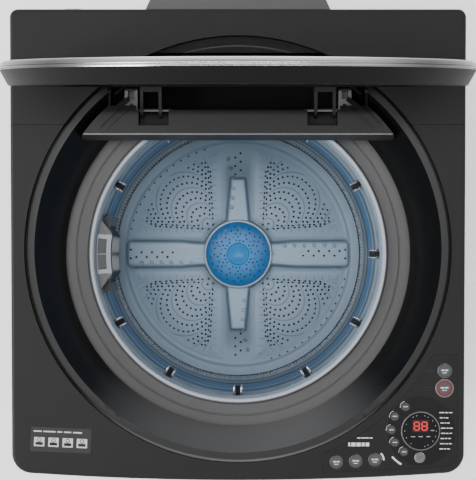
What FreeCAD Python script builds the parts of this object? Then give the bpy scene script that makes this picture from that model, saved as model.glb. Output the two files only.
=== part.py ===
"""Top load washing machine with a round lid, in millimetres.

Origin: centre of the footprint on the floor. +X right, +Y to the back, +Z up.
The lid is stored open, leaning slightly forward on its stop.
"""
import FreeCAD
import Part
import math
import os

V = FreeCAD.Vector

# ---------------------------------------------------------------- overall
BODY_WIDTH = 565.0
BODY_DEPTH = 583.0          # bowed front to the flat of the back
DECK_Z = 927.0              # top of the deck above the floor
BACK_HUMP = 17.0            # how far the pressed hump stands behind the back
FRONT_BOW = 10.5            # crest of the front edge ahead of its ends
SIDE_TAPER = 3.0            # each side draws in by this much at the front
FRONT_CORNER_R = 25.0
BACK_CORNER_R = 10.0

HALF_W = BODY_WIDTH / 2
Y_FRONT = -(BODY_DEPTH + BACK_HUMP) / 2
Y_BACK = Y_FRONT + BODY_DEPTH

# ---------------------------------------------------------------- sheet metal and base
SHEET = 1.2
SHELL_FLOOR_GAP = 30.0
SHELL_FLANGE = 12.0
BACK_OPENING_SIDE = 20.0    # strip of shell left beside the back opening
BACK_OPENING_FOOT = 60.0
PANEL_LAP = 10.0
HUMP_HALF = 115.0
HUMP_CHAMFER = 8.0
HUMP_TOP_DROP = 7.0
RIB_HEIGHT = 1.5
RIB_HALF = 6.0
RIB_SPREAD = 22.0
RIB_END_GAP = 60.0          # rib ends short of the drain and the gland
BASE_Z = 22.0
BASE_TOP = 62.0
BASE_WALL = 3.0
BASE_CHANNEL = 30.0
CORNER_PAD = 122.0
CORNER_PAD_T = 6.0
FOOT_INSET = 45.0
FOOT_STUD_R = 5.0
FOOT_PAD_R = 20.0
FOOT_BOSS_R = 12.0
FOOT_SOLE_H = 7.0
FOOT_SOLE_EDGE = 1.5
FOOT_CONE_R = 13.0
FOOT_CONE_TOP = 10.5
FOOT_NUT_R = 9.0
FOOT_NUT_TOP = 17.0
RUN_CLEAR = 0.05            # running fit between a shaft and its bore
FACE_GAP = 0.3              # gap between curved faces on different bodies

# ---------------------------------------------------------------- deck
SKIRT = 40.0
DECK_WALL = 3.0
DECK_EDGE_R = 4.0
SEAM_FROM_BACK = 143.0
SEAM_GAP = 0.4
SIDE_LAND = 18.1            # deck left beside the recess
FRONT_LAND = 21.6
BACK_LAND = 32.6
COLLAR_H = 20.0

RECESS_R = min(HALF_W - SIDE_LAND, (BODY_DEPTH - FRONT_LAND - BACK_LAND) / 2)
RING_Y = (Y_FRONT + FRONT_LAND + Y_BACK - BACK_LAND) / 2
SEAM_Y = Y_BACK - SEAM_FROM_BACK

# ---------------------------------------------------------------- funnel
GUTTER_W = 3.7
GUTTER_DROP = 10.0
LEDGE_W = 8.3
LEDGE_DROP = 6.0
FUNNEL_IN = 32.4            # how far the funnel narrows
FUNNEL_DROP = 75.0
FUNNEL_WALL = 2.5
TUB_FORWARD = 6.0           # tub axis ahead of the lid's centre
MOULD_GAP = 0.2             # gap between fitted mouldings

LEDGE_R = RECESS_R - GUTTER_W
FUNNEL_R = LEDGE_R - LEDGE_W
THROAT_R = FUNNEL_R - FUNNEL_IN
TUB_Y = RING_Y - TUB_FORWARD
LEDGE_Z = DECK_Z - LEDGE_DROP
THROAT_Z = DECK_Z - FUNNEL_DROP

# ---------------------------------------------------------------- tub group
COVER_RING_W = 34.4         # funnel throat to the cover's inner lip
COVER_DROP = 88.0
COVER_LIP_RISE = 8.0
COVER_T = 3.0
COVER_SKIRT = 17.0
GROOVE_IN = 12.5            # groove inside the funnel throat's radius
GROOVE_HALF = 1.3
GROOVE_DEPTH = 1.6
COVER_LIP_W = 4.0
COVER_LIP_SLOPE = 4.0
BALANCE_REVEAL = 1.6
BALANCE_W = 34.8
BALANCE_H = 46.0
BALANCE_DROP = 15.0         # top of balance ring under the tub cover
BASKET_T = 1.0
BASKET_STEP_IN = 6.0        # balance ring stands inside the wall's top by this
BASKET_TAPER = 5.5
BASKET_STRAIGHT = 30.0
BASKET_TO_TUB = 8.0
TUB_WALL = 3.0
TUB_FLOOR_T = 5.0
DRIVE_SPACE = 335.0         # base top to the tub's floor
TUB_CHAMFER = 12.0
TUB_BORE_GAP = 6.0
FLOOR_TO_BASE = 23.0
BASE_DISC_T = 6.0
BASE_RIM_H = 9.0
BASE_RIM_T = 1.2

LIP_R = THROAT_R - COVER_RING_W
BALANCE_R = LIP_R - BALANCE_REVEAL
BALANCE_OUT_R = BALANCE_R + BALANCE_W
BASKET_TOP_R = BALANCE_R + BASKET_STEP_IN
BASKET_FOOT_R = BASKET_TOP_R - BASKET_TAPER
FLARE_R = BALANCE_OUT_R + MOULD_GAP
TUB_IN_R = FLARE_R + BASKET_T + BASKET_TO_TUB
TUB_OUT_R = TUB_IN_R + TUB_WALL
COVER_Z = DECK_Z - COVER_DROP
BALANCE_TOP = COVER_Z - BALANCE_DROP
BALANCE_FOOT = BALANCE_TOP - BALANCE_H
TUB_Z = BASE_TOP + DRIVE_SPACE
BASKET_BASE_Z = TUB_Z + TUB_FLOOR_T + FLOOR_TO_BASE
BASKET_BASE_TOP = BASKET_BASE_Z + BASE_DISC_T

# ---------------------------------------------------------------- pulsator
PULSATOR_EDGE_GAP = 2.5     # pulsator rim to the basket's foot
PULSATOR_LIFT = 15.0
PULSATOR_T = 6.0
PULSATOR_RIM_W = 13.0
PULSATOR_RIM_H = 5.0
LONG_ARM_IN = 15.0          # arms' ends inside the pulsator's rim
SHORT_ARM_IN = 67.0
ARM_W = 39.0
ARM_RISE = 13.0
HUB_R = 22.0
HUB_DROP = 12.0
HUB_TOP_R = 44.0
CAP_R = 50.6
CAP_RISE = 35.0             # top of the cap above the pulsator's plate
CAP_T = 9.0
CAP_BORE = 24.0
SCREW_R = 4.0
SCREW_HEAD_R = 9.0
SCREW_HEAD_T = 5.0
SCREW_GRIP = 12.0           # hub floor between the screw head and the shaft
SCREW_BITE = 25.0

PULSATOR_R = BASKET_FOOT_R - PULSATOR_EDGE_GAP
PULSATOR_Z = BASKET_BASE_TOP + PULSATOR_LIFT
PLATE_TOP = PULSATOR_Z + PULSATOR_T
CAP_TOP = PLATE_TOP + CAP_RISE

# ---------------------------------------------------------------- lint filter
FILTER_HALF = 50.0
FILTER_T = 13.0
FILTER_H = 130.0
FILTER_DROP = 8.0
FILTER_WALL_GAP = 0.6
FILTER_WINDOW_H = 92.0
FILTER_WINDOW_W = 34.0
FILTER_WINDOW_T = 6.0
FILTER_MULLION_HALF = 4.0

# ---------------------------------------------------------------- drive
WASH_R = 8.0
SHAFT_TAIL = 12.0
SPIN_R = 14.0
SPIN_FLANGE_R = 42.0
SPIN_FLANGE_T = 6.0
BEARING_R = 26.0
BEARING_T = 15.0
BEARING_LOW = 7.0           # lower bearing above the housing's foot
BEARING_HIGH = 27.0         # upper bearing's foot under the tub
HOUSING_R = 34.0
HOUSING_FLANGE_R = 110.0
HOUSING_FLANGE_T = 8.0
HOUSING_LEN = 142.0
HOUSING_WEB_H = 20.0
DRUM_R = 70.0
DRUM_H = 55.0
DRUM_STEP = 12.0
DRUM_LID_T = 6.0
DRUM_BOSS_R = 30.0
DRUM_GAP = 20.0
PULLEY_R = 85.0
PULLEY_H = 24.0
PULLEY_Z = BASE_TOP + 78.0
PULLEY_WEB_T = 6.0
PULLEY_RIM_T = 7.0
PULLEY_BOSS_R = 22.0
PULLEY_FLANGE = 3.0
PULLEY_HOLES = 6
PULLEY_HOLE_R = 17.0
BELT_T = 5.0
BELT_H = 14.0
MOTOR_X = 170.0
MOTOR_R = 66.0
MOTOR_H = 130.0
MOTOR_DROP = 72.0           # motor's top under the tub
MOTOR_FOOT_R = 34.0
MOTOR_END_H = 14.0
MOTOR_END_IN = 8.0
ROTOR_IN = 20.0             # rotor shaft ends this far inside the housing
MOTOR_SHAFT_R = 6.0
MOTOR_PULLEY_R = 28.0
PLATE_T = 8.0
PLATE_HALF = 60.0
PLATE_REACH = 25.0          # end of the plate beyond the motor's axis
PLATE_RIB_H = 18.0
PLATE_RIB_HALF = 4.0

# ---------------------------------------------------------------- suspension
ROD_OUT = 19.0              # rod outside the tub's wall
ROD_R = 3.5
ROD_HOLE_R = 5.2
ROD_TOP_DROP = 64.0
BALL_SEAT_R = 10.0
BALL_SEAT_H = 10.0
LUG_Z = TUB_Z + 93.0
LUG_T = 8.0
LUG_HALF = 14.0
LUG_RIB_H = 40.0
LUG_RIB_HALF = 2.0
SPRING_LEN = 60.0
SPRING_R = 14.0
SPRING_BORE = 11.0
CUP_R = 16.0
CUP_T = 6.0
BRACKET_T = 2.5
BRACKET_H = 23.0
BRACKET_EDGE = 12.0         # bracket left between the rod and the funnel
BRACKET_NEAR = 14.0         # bracket's outline from the rod
BRACKET_SIDE = 25.0
BRACKET_RUN = 63.0
BRACKET_FAR = 143.0

ROD_R_FROM_AXIS = TUB_OUT_R + ROD_OUT

# ---------------------------------------------------------------- lid and hinge
PIVOT_IN = 90.4             # pivot ahead of the recess's back edge
PIVOT_DROP = 30.0
LID_OPEN_DEG = 85.0
LID_LIFT = -1.0             # closed lid's inner face relative to the deck
LID_EDGE_GAP = 1.6          # lid's inner face inside the recess edge
LID_FLARE = 9.5
BAND_H = 17.5
BEZEL_H = 9.5
BEZEL_W = 9.0
BEZEL_GROOVE_H = 1.3        # shadow groove between band and bezel
BEZEL_GROOVE_W = 2.5
BEZEL_STEP_Z = 3.6          # narrow lower bead of the bezel
BEZEL_STEP_IN = 0.8
SEAT_W = 30.0
SEAT_H = 3.0
GLASS_T = 6.0
GLASS_CROWN = 3.0
WINDOW_IN = 61.0            # opening of the lid frame inside its inner-face radius
BRIDGE_W = 16.0             # cross member of the frame ahead of the chord
CHORD_IN = 30.0             # chord ahead of the pivot
TONGUE_OUT = 32.0           # tongue behind the pivot
TONGUE_SWEEP = 53.3         # reach of the tongue behind the pivot at deck level
GLASS_TAIL = 10.0           # glass and bezel end ahead of the pivot by this
GLASS_TAIL_IN = 15.0
PIN_R = 4.0
ARM_IN = 40.0               # inner cheek inside the tongue's side
ARM_OUT = 13.0
CHEEK_T = 4.0
BOSS_R = 10.0
ARM_FORE = 15.0
ARM_AFT = 25.0
CROSSBAR_T = 6.0

PIVOT_Y = RING_Y + RECESS_R - PIVOT_IN
PIVOT_Z = DECK_Z - PIVOT_DROP
LID_Z = DECK_Z + LID_LIFT
LID_R = RECESS_R - LID_EDGE_GAP
LID_OUT_R = LID_R + LID_FLARE
TONGUE_X = math.sqrt(RECESS_R ** 2 - (PIVOT_Y - RING_Y + TONGUE_SWEEP) ** 2)

# ---------------------------------------------------------------- hinge shelf
SHELF_DROP = 8.0
SHELF_T = 3.0
SHELF_IN = 24.4             # shelf's arc inside the recess edge
SHELF_FORE = 32.0           # shelf's front edge ahead of the pivot
SHELF_SKIRT = 20.0
STRIP_H = 32.0
STRIP_SLOPE = 5.0
WELL_SIDE = 23.0            # well outside the tongue
WELL_REACH = 70.0
WELL_DROP = 68.0
WELL_LEDGE_DROP = 11.0
WELL_OVERHANG = 5.0
WELL_END_IN = 10.0          # ledge behind the well ends inside the back
WELL_LIP = 1.0              # well starts ahead of the pivot by this
SLOT_IN = 9.0               # slot beside the arm's inner cheek
SLOT_OUT = 1.5
SLOT_FORE = 20.5
SLOT_DROP = 45.0
BRACKET_W = 16.0
BRACKET_SWING = 27.5        # hinge bracket stays inside the lid's swing
BRACKET_HALF_H = 15.0
BRACKET_FORE = 10.0
POCKET_WALL = 4.0
POCKET_Y0 = 13.0            # pocket in each bracket, behind the pivot
POCKET_Y1 = 23.0
SHELF_CAP_R = 12.4
SHELF_CAP_T = 1.9
SHELF_CAP_SINK = 1.5
SHELF_CAP_OUT = 12.5        # cap's centre outside the tongue
SHELF_CAP_FORE = 13.0

SHELF_Z = DECK_Z - SHELF_DROP
WELL_X = TONGUE_X + WELL_SIDE
ARM_X0 = TONGUE_X - ARM_IN
ARM_X1 = TONGUE_X - ARM_OUT
SLOT_X0 = ARM_X0 - SLOT_IN
SLOT_X1 = ARM_X1 + SLOT_OUT
WELL_BACK = PIVOT_Y + WELL_REACH
WELL_FLOOR = DECK_Z - WELL_DROP

# ---------------------------------------------------------------- bumpers
BUMPER_DEG = 128.2          # from +X, on each side of the front
BUMPER_SPAN = 7.5
BUMPER_T = 1.5
BUMPER_W = 6.0
BUMPER_IN = 1.2
BUMPER_DOT_R = 2.2
BUMPER_DOT_DEG = 1.75

# ---------------------------------------------------------------- controls
FASCIA_MARGIN = 8.5         # fascia inside the body's outline
FASCIA_RING_GAP = 9.6       # fascia outside the recess
FASCIA_T = 1.8
FASCIA_SEAT = 4.0
FASCIA_RIM_T = 2.0
FASCIA_RIM_H = 10.0
DIAL_FROM_SIDE = 56.8
DIAL_FROM_FRONT = 61.2
FASCIA_LEFT = 121.7         # fascia's edges from the dial's centre
FASCIA_TOP = 94.8
DISPLAY_R = 24.3
DISPLAY_RING_W = 1.5
DISPLAY_T = 2.6
RING_RISE = 0.7
BUTTON_GAP = 0.35
BUTTON_RISE = 0.5
BUTTON_FLANGE = 1.0
BUTTON_FLANGE_T = 1.2
BUTTON_STEM_R = 2.5
BUTTON_TRAVEL = 1.2
BOARD_DROP = 12.0
BOARD_T = 1.6
BOARD_IN = 8.0
POST_R = 3.0
POSTS = ((-45.0, -22.0), (16.0, 33.0), (35.0, -20.0), (-92.0, -24.0))  # from the dial's centre

DIAL_X = HALF_W - DIAL_FROM_SIDE
DIAL_Y = Y_FRONT + DIAL_FROM_FRONT
# name: (x and y from the dial's centre, button radius, trim ring's outer radius or 0)
BUTTONS = {
    "button_power": (29.9, 74.5, 7.8, 9.0),
    "button_start": (29.6, 52.9, 9.2, 11.6),
    "button_select": (-1.0, -32.9, 6.6, 0.0),
    "button_option_1": (-104.1, -38.3, 7.2, 8.3),
    "button_option_2": (-80.2, -37.2, 7.2, 8.3),
    "button_option_3": (-56.5, -35.6, 7.2, 8.3),
    "key_1": (-18.7, 30.0, 5.3, 0.0),
    "key_2": (-31.9, 18.1, 5.3, 0.0),
    "key_3": (-36.0, 1.4, 5.3, 0.0),
    "key_4": (-31.9, -14.1, 5.3, 0.0),
    "key_5": (-20.5, -25.8, 5.3, 0.0),
}

# ---------------------------------------------------------------- services on the back
INLET_X = -HALF_W + 67.0
INLET_Z = DECK_Z - 127.0
INLET_R = 13.2
INLET_BORE = 9.0
INLET_OUT = 16.5
SPIGOT_COLLAR_T = 3.0
SPIGOT_COLLAR_W = 4.0
VALVE_HALF = 20.0
VALVE_DEEP = 42.0
VALVE_FACE = 12.0
COIL_R = 16.0
COIL_H = 28.0
OUTLET_R = 8.0
OUTLET_BORE = 5.5
OUTLET_H = 22.0
DRAIN_X = HALF_W - 95.0
DRAIN_Z = BASE_TOP + 28.0
DRAIN_R = 11.0
DRAIN_BORE = 8.5
DRAIN_OUT = 16.5
PUMP_R = 34.0
PUMP_H = 48.0
PUMP_EDGE = 4.0
PUMP_MOTOR_R = 20.0
PUMP_MOTOR_H = 22.0
PUMP_IN = 85.0
GLAND_X = HALF_W - 60.0
GLAND_Z = DECK_Z - 277.0
GLAND_R = 9.0
GLAND_BORE = 4.2
GLAND_OUT = 6.0
GLAND_FLANGE = 3.0
GLAND_FLANGE_T = 2.5
GLAND_IN = 6.0
HOLE_GAP = 0.5
SCREW_ROWS = 5
SCREW_END_IN = 20.0
PANEL_SCREW_R = 4.0
PANEL_SCREW_H = 2.6
PANEL_SCREW_SHANK = 1.8
CROSS_HALF = 2.0            # cross recess in the screw heads
CROSS_SLOT_HALF = 0.5
CROSS_DEPTH = 1.4


# ================================================================ helpers
def box(x0, x1, y0, y1, z0, z1):
    """Box between two corners."""
    return Part.makeBox(x1 - x0, y1 - y0, z1 - z0, V(x0, y0, z0))


def both_sides(x0, x1, y0, y1, z0, z1):
    """A box and its mirror image across the YZ plane."""
    return [box(x0, x1, y0, y1, z0, z1), box(-x1, -x0, y0, y1, z0, z1)]


def disc(r, x, y, z0, z1):
    """Upright cylinder."""
    return Part.makeCylinder(r, z1 - z0, V(x, y, z0))


def tube(r_out, r_in, x, y, z0, z1):
    """Upright tube."""
    return disc(r_out, x, y, z0, z1).cut(disc(r_in, x, y, z0 - 1, z1 + 1))


def rod_x(r, x0, x1, y, z):
    """Cylinder along X."""
    return Part.makeCylinder(r, x1 - x0, V(x0, y, z), V(1, 0, 0))


def rod_y(r, x, y0, y1, z):
    """Cylinder along Y."""
    return Part.makeCylinder(r, y1 - y0, V(x, y0, z), V(0, 1, 0))


def turned(outline, x=0.0, y=0.0):
    """Solid of revolution about an upright axis, from a closed (r, z) outline."""
    points = [V(x + r, y, z) for r, z in outline]
    face = Part.Face(Part.makePolygon(points + points[:1]))
    solid = face.revolve(V(x, y, 0), V(0, 0, 1), 360)
    return solid if solid.Volume > 0 else solid.reversed()


def plate(points, z0, z1):
    """Upright prism on a closed (x, y) outline."""
    corners = [V(x, y, z0) for x, y in points]
    return Part.Face(Part.makePolygon(corners + corners[:1])).extrude(V(0, 0, z1 - z0))


def slab_x(points, x0, x1):
    """Prism along X on a closed (y, z) outline."""
    corners = [V(x0, y, z) for y, z in points]
    return Part.Face(Part.makePolygon(corners + corners[:1])).extrude(V(x1 - x0, 0, 0))


def mirrored(shape):
    """Mirror image across the YZ plane."""
    return shape.mirror(V(0, 0, 0), V(1, 0, 0))


def single(shape, name):
    """The one solid of a shape, or an error when it fell apart."""
    if len(shape.Solids) != 1:
        raise ValueError(f"{name} has {len(shape.Solids)} solids")
    return shape.Solids[0]


def save(name, *shapes):
    """Write one node; several shapes stay separate solids."""
    solids = [single(shape, name) for shape in shapes]
    node = solids[0] if len(solids) == 1 else Part.makeCompound(solids)
    node.exportStep(os.path.join("parts", name + ".step"))


def body_wire():
    """Plan of the body: flat back, sides drawn in towards a bowed front, round corners."""
    y_end = Y_FRONT + FRONT_BOW
    front_x = HALF_W - SIDE_TAPER
    back_r, back_l = V(HALF_W, Y_BACK, 0), V(-HALF_W, Y_BACK, 0)
    front_r, front_l = V(front_x, y_end, 0), V(-front_x, y_end, 0)
    edges = [
        Part.makeLine(back_l, back_r),
        Part.makeLine(back_r, front_r),
        Part.Arc(front_r, V(0, Y_FRONT, 0), front_l).toShape(),
        Part.makeLine(front_l, back_l),
    ]
    block = Part.Face(Part.Wire(edges)).extrude(V(0, 0, 1))
    block = block.makeFillet(FRONT_CORNER_R, corner_edges(block, -1))
    block = block.makeFillet(BACK_CORNER_R, corner_edges(block, 1))
    foot = min(block.Faces, key=lambda f: f.CenterOfMass.z)
    return foot.OuterWire


def corner_edges(block, side):
    """Sharp upright edges of the body's plan at the front (-1) or the back (1)."""
    y = Y_BACK if side > 0 else Y_FRONT + FRONT_BOW
    return [e for e in block.Edges if e.BoundBox.ZLength > 0.5 and abs(e.CenterOfMass.y - y) < 0.01]


BODY_WIRE = body_wire()


def prism(inset, z0, z1):
    """Upright prism on the body's plan, drawn in by an inset."""
    wire = BODY_WIRE.makeOffset2D(-inset) if inset else BODY_WIRE.copy()
    wire.translate(V(0, 0, z0))
    return Part.Face(wire).extrude(V(0, 0, z1 - z0))


# ================================================================ cabinet
def cabinet_shell():
    """Wrap-round painted sheet with a top flange and an opening at the back."""
    top = DECK_Z - SKIRT
    shell = prism(0, SHELL_FLOOR_GAP, top).cut(prism(SHEET, SHELL_FLOOR_GAP - 1, top - SHEET))
    shell = shell.cut(prism(SHELL_FLANGE, top - 2 * SHEET, top + 1))
    half = HALF_W - BACK_OPENING_SIDE
    opening = box(-half, half, Y_BACK - 2 * SHEET, Y_BACK + 1, BACK_OPENING_FOOT, top - SHELL_FLANGE)
    return shell.cut(opening)


def hump_plan(inset):
    """Outline of the pressed hump, seen from above."""
    y_out = Y_BACK + BACK_HUMP - inset
    half = HUMP_HALF - inset
    tip = half - HUMP_CHAMFER
    return [(-half, Y_BACK), (-tip, y_out), (tip, y_out), (half, Y_BACK)]


def rear_panel():
    """Back cover with a tall pressed hump, pressed ribs and holes for the services."""
    side = HALF_W - BACK_OPENING_SIDE + PANEL_LAP
    foot, top = BACK_OPENING_FOOT - PANEL_LAP, DECK_Z - SKIRT - SHEET
    hump_top = DECK_Z - HUMP_TOP_DROP
    panel = box(-side, side, Y_BACK, Y_BACK + SHEET, foot, top)
    panel = panel.fuse(plate(hump_plan(0), BACK_OPENING_FOOT, hump_top))
    hollow = plate(hump_plan(SHEET), BACK_OPENING_FOOT + SHEET, hump_top - SHEET)
    through = box(-HUMP_HALF + SHEET, HUMP_HALF - SHEET, Y_BACK - 1, Y_BACK + SHEET / 4,
                  BACK_OPENING_FOOT + SHEET, hump_top - SHEET)
    panel = panel.cut(hollow).cut(through)
    rib_x = (HUMP_HALF + side) / 2
    low, high = DRAIN_Z + RIB_END_GAP, GLAND_Z - RIB_END_GAP
    for x in (-rib_x - RIB_SPREAD, -rib_x + RIB_SPREAD, rib_x - RIB_SPREAD, rib_x + RIB_SPREAD):
        panel = panel.fuse(box(x - RIB_HALF, x + RIB_HALF, Y_BACK + SHEET, Y_BACK + SHEET + RIB_HEIGHT,
                               low, high))
    for x, z, r in ((INLET_X, INLET_Z, INLET_R), (DRAIN_X, DRAIN_Z, DRAIN_R), (GLAND_X, GLAND_Z, GLAND_R)):
        panel = panel.cut(rod_y(r + HOLE_GAP, x, Y_BACK - 5, Y_BACK + 5, z))
    for screw in panel_screw_places():
        panel = panel.cut(rod_y(PANEL_SCREW_SHANK, screw.x, Y_BACK - 5, Y_BACK + 5, screw.z))
    return panel


def panel_screw_places():
    """Centres of the back cover's screws, up both sides."""
    x = HALF_W - BACK_OPENING_SIDE + PANEL_LAP / 2
    low = BACK_OPENING_FOOT + SCREW_END_IN
    step = (DECK_Z - SKIRT - 2 * SCREW_END_IN - low) / (SCREW_ROWS - 1)
    return [V(side * x, Y_BACK + SHEET, low + i * step)
            for side in (-1, 1) for i in range(SCREW_ROWS)]


def panel_screws():
    """Pan-head screws holding the back cover."""
    screws = []
    for p in panel_screw_places():
        head = rod_y(PANEL_SCREW_R, p.x, p.y, p.y + PANEL_SCREW_H, p.z)
        y0, y1 = p.y + PANEL_SCREW_H - CROSS_DEPTH, p.y + PANEL_SCREW_H + 1
        a, b = CROSS_HALF, CROSS_SLOT_HALF
        cross = box(p.x - a, p.x + a, y0, y1, p.z - b, p.z + b)
        cross = cross.fuse(box(p.x - b, p.x + b, y0, y1, p.z - a, p.z + a))
        screws.append(head.cut(cross).fuse(rod_y(PANEL_SCREW_SHANK, p.x, Y_BACK, p.y, p.z)))
    return screws


def foot_places():
    """Centres of the four feet, by name."""
    x = HALF_W - FOOT_INSET
    y0, y1 = Y_FRONT + FRONT_BOW + FOOT_INSET, Y_BACK - FOOT_INSET
    return {"foot_front_left": (-x, y0), "foot_front_right": (x, y0),
            "foot_back_left": (-x, y1), "foot_back_right": (x, y1)}


def base_frame():
    """Channel ring under the cabinet with corner pads and threaded foot bosses."""
    fit = SHEET + MOULD_GAP
    frame = prism(fit, BASE_Z, BASE_TOP).cut(prism(fit + BASE_CHANNEL, BASE_Z - 1, BASE_TOP + 1))
    groove = prism(fit + BASE_WALL, BASE_Z - 2, BASE_TOP - BASE_WALL)
    groove = groove.cut(prism(fit + BASE_CHANNEL - BASE_WALL, BASE_Z - 3, BASE_TOP))
    frame = frame.cut(groove)
    inner = prism(fit, BASE_TOP - CORNER_PAD_T, BASE_TOP)
    for side in (-1, 1):
        x_far, x_near = side * (HALF_W + 5), side * (HALF_W - CORNER_PAD)
        for y_far, y_near in ((Y_BACK + 5, Y_BACK - CORNER_PAD), (Y_FRONT - 5, Y_FRONT + CORNER_PAD)):
            pad = box(min(x_far, x_near), max(x_far, x_near), min(y_far, y_near), max(y_far, y_near),
                      BASE_TOP - CORNER_PAD_T, BASE_TOP)
            frame = frame.fuse(pad.common(inner))
    for x, y in foot_places().values():
        frame = frame.fuse(disc(FOOT_BOSS_R, x, y, BASE_Z, BASE_TOP - 1))
    for x, y in foot_places().values():
        frame = frame.cut(disc(FOOT_STUD_R + RUN_CLEAR, x, y, BASE_Z - 1, BASE_TOP + 1))
    return frame.removeSplitter()


def levelling_foot(x, y):
    """Rubber-soled foot on a threaded stud."""
    edge, top = FOOT_SOLE_EDGE, BASE_TOP - 2
    return turned([(0, 0), (FOOT_PAD_R - edge, 0), (FOOT_PAD_R, edge), (FOOT_PAD_R, FOOT_SOLE_H),
                   (FOOT_CONE_R, FOOT_CONE_TOP), (FOOT_NUT_R, FOOT_CONE_TOP), (FOOT_NUT_R, FOOT_NUT_TOP),
                   (FOOT_STUD_R, FOOT_NUT_TOP), (FOOT_STUD_R, top), (0, top)], x, y)


# ================================================================ deck, funnel and shelf
def well_zone(grow):
    """Space behind the pivot that the shelf's well takes from deck collar and funnel."""
    return box(-WELL_X - SHELF_T - grow, WELL_X + SHELF_T + grow, PIVOT_Y - SHELF_T - WELL_LIP - grow,
               Y_BACK - WELL_END_IN + 2,
               WELL_FLOOR - SHELF_T - grow, DECK_Z - DECK_WALL)


def fascia_plan(inset, z0, z1):
    """Control fascia's plan: corner of the body cut by an arc round the recess."""
    region = box(DIAL_X - FASCIA_LEFT + inset, HALF_W, Y_FRONT, DIAL_Y + FASCIA_TOP - inset, z0, z1)
    region = region.common(prism(FASCIA_MARGIN + inset, z0, z1))
    return region.cut(disc(RECESS_R + FASCIA_RING_GAP + inset, 0, RING_Y, z0 - 1, z1 + 1))


def deck():
    """Front and back mouldings of the deck, with the recess's collar."""
    block = prism(0, DECK_Z - SKIRT, DECK_Z)
    rim = [e for e in block.Edges if e.BoundBox.ZMin > DECK_Z - 0.01]
    block = block.makeFillet(DECK_EDGE_R, rim)
    shell = block.cut(prism(DECK_WALL, DECK_Z - SKIRT - 1, DECK_Z - DECK_WALL))
    shell = shell.fuse(disc(RECESS_R + DECK_WALL, 0, RING_Y, DECK_Z - COLLAR_H, DECK_Z - 1))
    shell = shell.cut(disc(RECESS_R, 0, RING_Y, DECK_Z - SKIRT, DECK_Z + 1))
    shell = shell.cut(well_zone(1.0))
    far = HALF_W + 10
    front = shell.common(box(-far, far, Y_FRONT - 10, SEAM_Y - SEAM_GAP / 2, 0, DECK_Z + 10))
    back = shell.common(box(-far, far, SEAM_Y + SEAM_GAP / 2, Y_BACK + 10, 0, DECK_Z + 10))
    front = front.cut(fascia_plan(-MOULD_GAP, DECK_Z - FASCIA_T, DECK_Z + 1))
    front = front.cut(fascia_plan(FASCIA_SEAT, DECK_Z - DECK_WALL - 1, DECK_Z + 1))
    for zone in button_zones(DECK_Z - DECK_WALL - 1, DECK_Z - FASCIA_T):
        front = front.cut(zone)
    return front, back


def button_zones(z0, z1):
    """Room for the buttons' flanges under the fascia."""
    return [disc(r + BUTTON_FLANGE + BUTTON_GAP, DIAL_X + dx, DIAL_Y + dy, z0, z1)
            for dx, dy, r, _ring in BUTTONS.values()]


def cone(r_top, r_foot):
    """Leaning cone from the ledge down to the throat, which is nearer the front."""
    top = Part.Wire(Part.makeCircle(r_top, V(0, RING_Y, LEDGE_Z)))
    foot = Part.Wire(Part.makeCircle(r_foot, V(0, TUB_Y, THROAT_Z)))
    return Part.makeLoft([foot, top], True, True)


def funnel():
    """Recess moulding: gutter, ledge and the glossy funnel down to the tub."""
    out_r = RECESS_R - MOULD_GAP
    gutter_z = DECK_Z - GUTTER_DROP
    ring = turned([(FUNNEL_R, LEDGE_Z), (LEDGE_R, LEDGE_Z), (LEDGE_R, gutter_z), (out_r, gutter_z),
                   (out_r, gutter_z - SHELF_T), (LEDGE_R - SHELF_T, gutter_z - SHELF_T),
                   (LEDGE_R - SHELF_T, LEDGE_Z - SHELF_T), (FUNNEL_R, LEDGE_Z - SHELF_T)], 0, RING_Y)
    wall = cone(FUNNEL_R + FUNNEL_WALL, THROAT_R + FUNNEL_WALL)
    moulding = wall.fuse(ring).cut(cone(FUNNEL_R, THROAT_R))
    return moulding.cut(well_zone(MOULD_GAP))


def hinge_pins():
    """Two axles that the lid's arms turn on."""
    x0, x1 = SLOT_X0 - SHELF_T + 0.2, SLOT_X1 + BRACKET_W
    return [rod_x(PIN_R, x0, x1, PIVOT_Y, PIVOT_Z), rod_x(PIN_R, -x1, -x0, PIVOT_Y, PIVOT_Z)]


def hinge_brackets():
    """Blocks in the well that carry the axles' outer ends."""
    blocks = []
    foot, top = PIVOT_Z - BRACKET_HALF_H, PIVOT_Z + BRACKET_HALF_H
    for block in both_sides(SLOT_X1 + SLOT_OUT, SLOT_X1 + SLOT_OUT + BRACKET_W, PIVOT_Y - BRACKET_FORE,
                            PIVOT_Y + BRACKET_SWING, foot, top):
        x0, x1 = block.BoundBox.XMin, block.BoundBox.XMax
        block = block.common(rod_x(BRACKET_SWING, x0, x1, PIVOT_Y, PIVOT_Z))
        pocket = box(x0 + POCKET_WALL, x1 - POCKET_WALL, PIVOT_Y + POCKET_Y0, PIVOT_Y + POCKET_Y1,
                     PIVOT_Z, top + 1)
        block = block.cut(pocket)
        for pin in hinge_pins():
            block = block.cut(pin)
        blocks.append(block)
    return blocks


def shelf_cap_centre():
    """Centre of the round cap on the shelf's right side."""
    return TONGUE_X + SHELF_CAP_OUT, PIVOT_Y - SHELF_CAP_FORE


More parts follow.
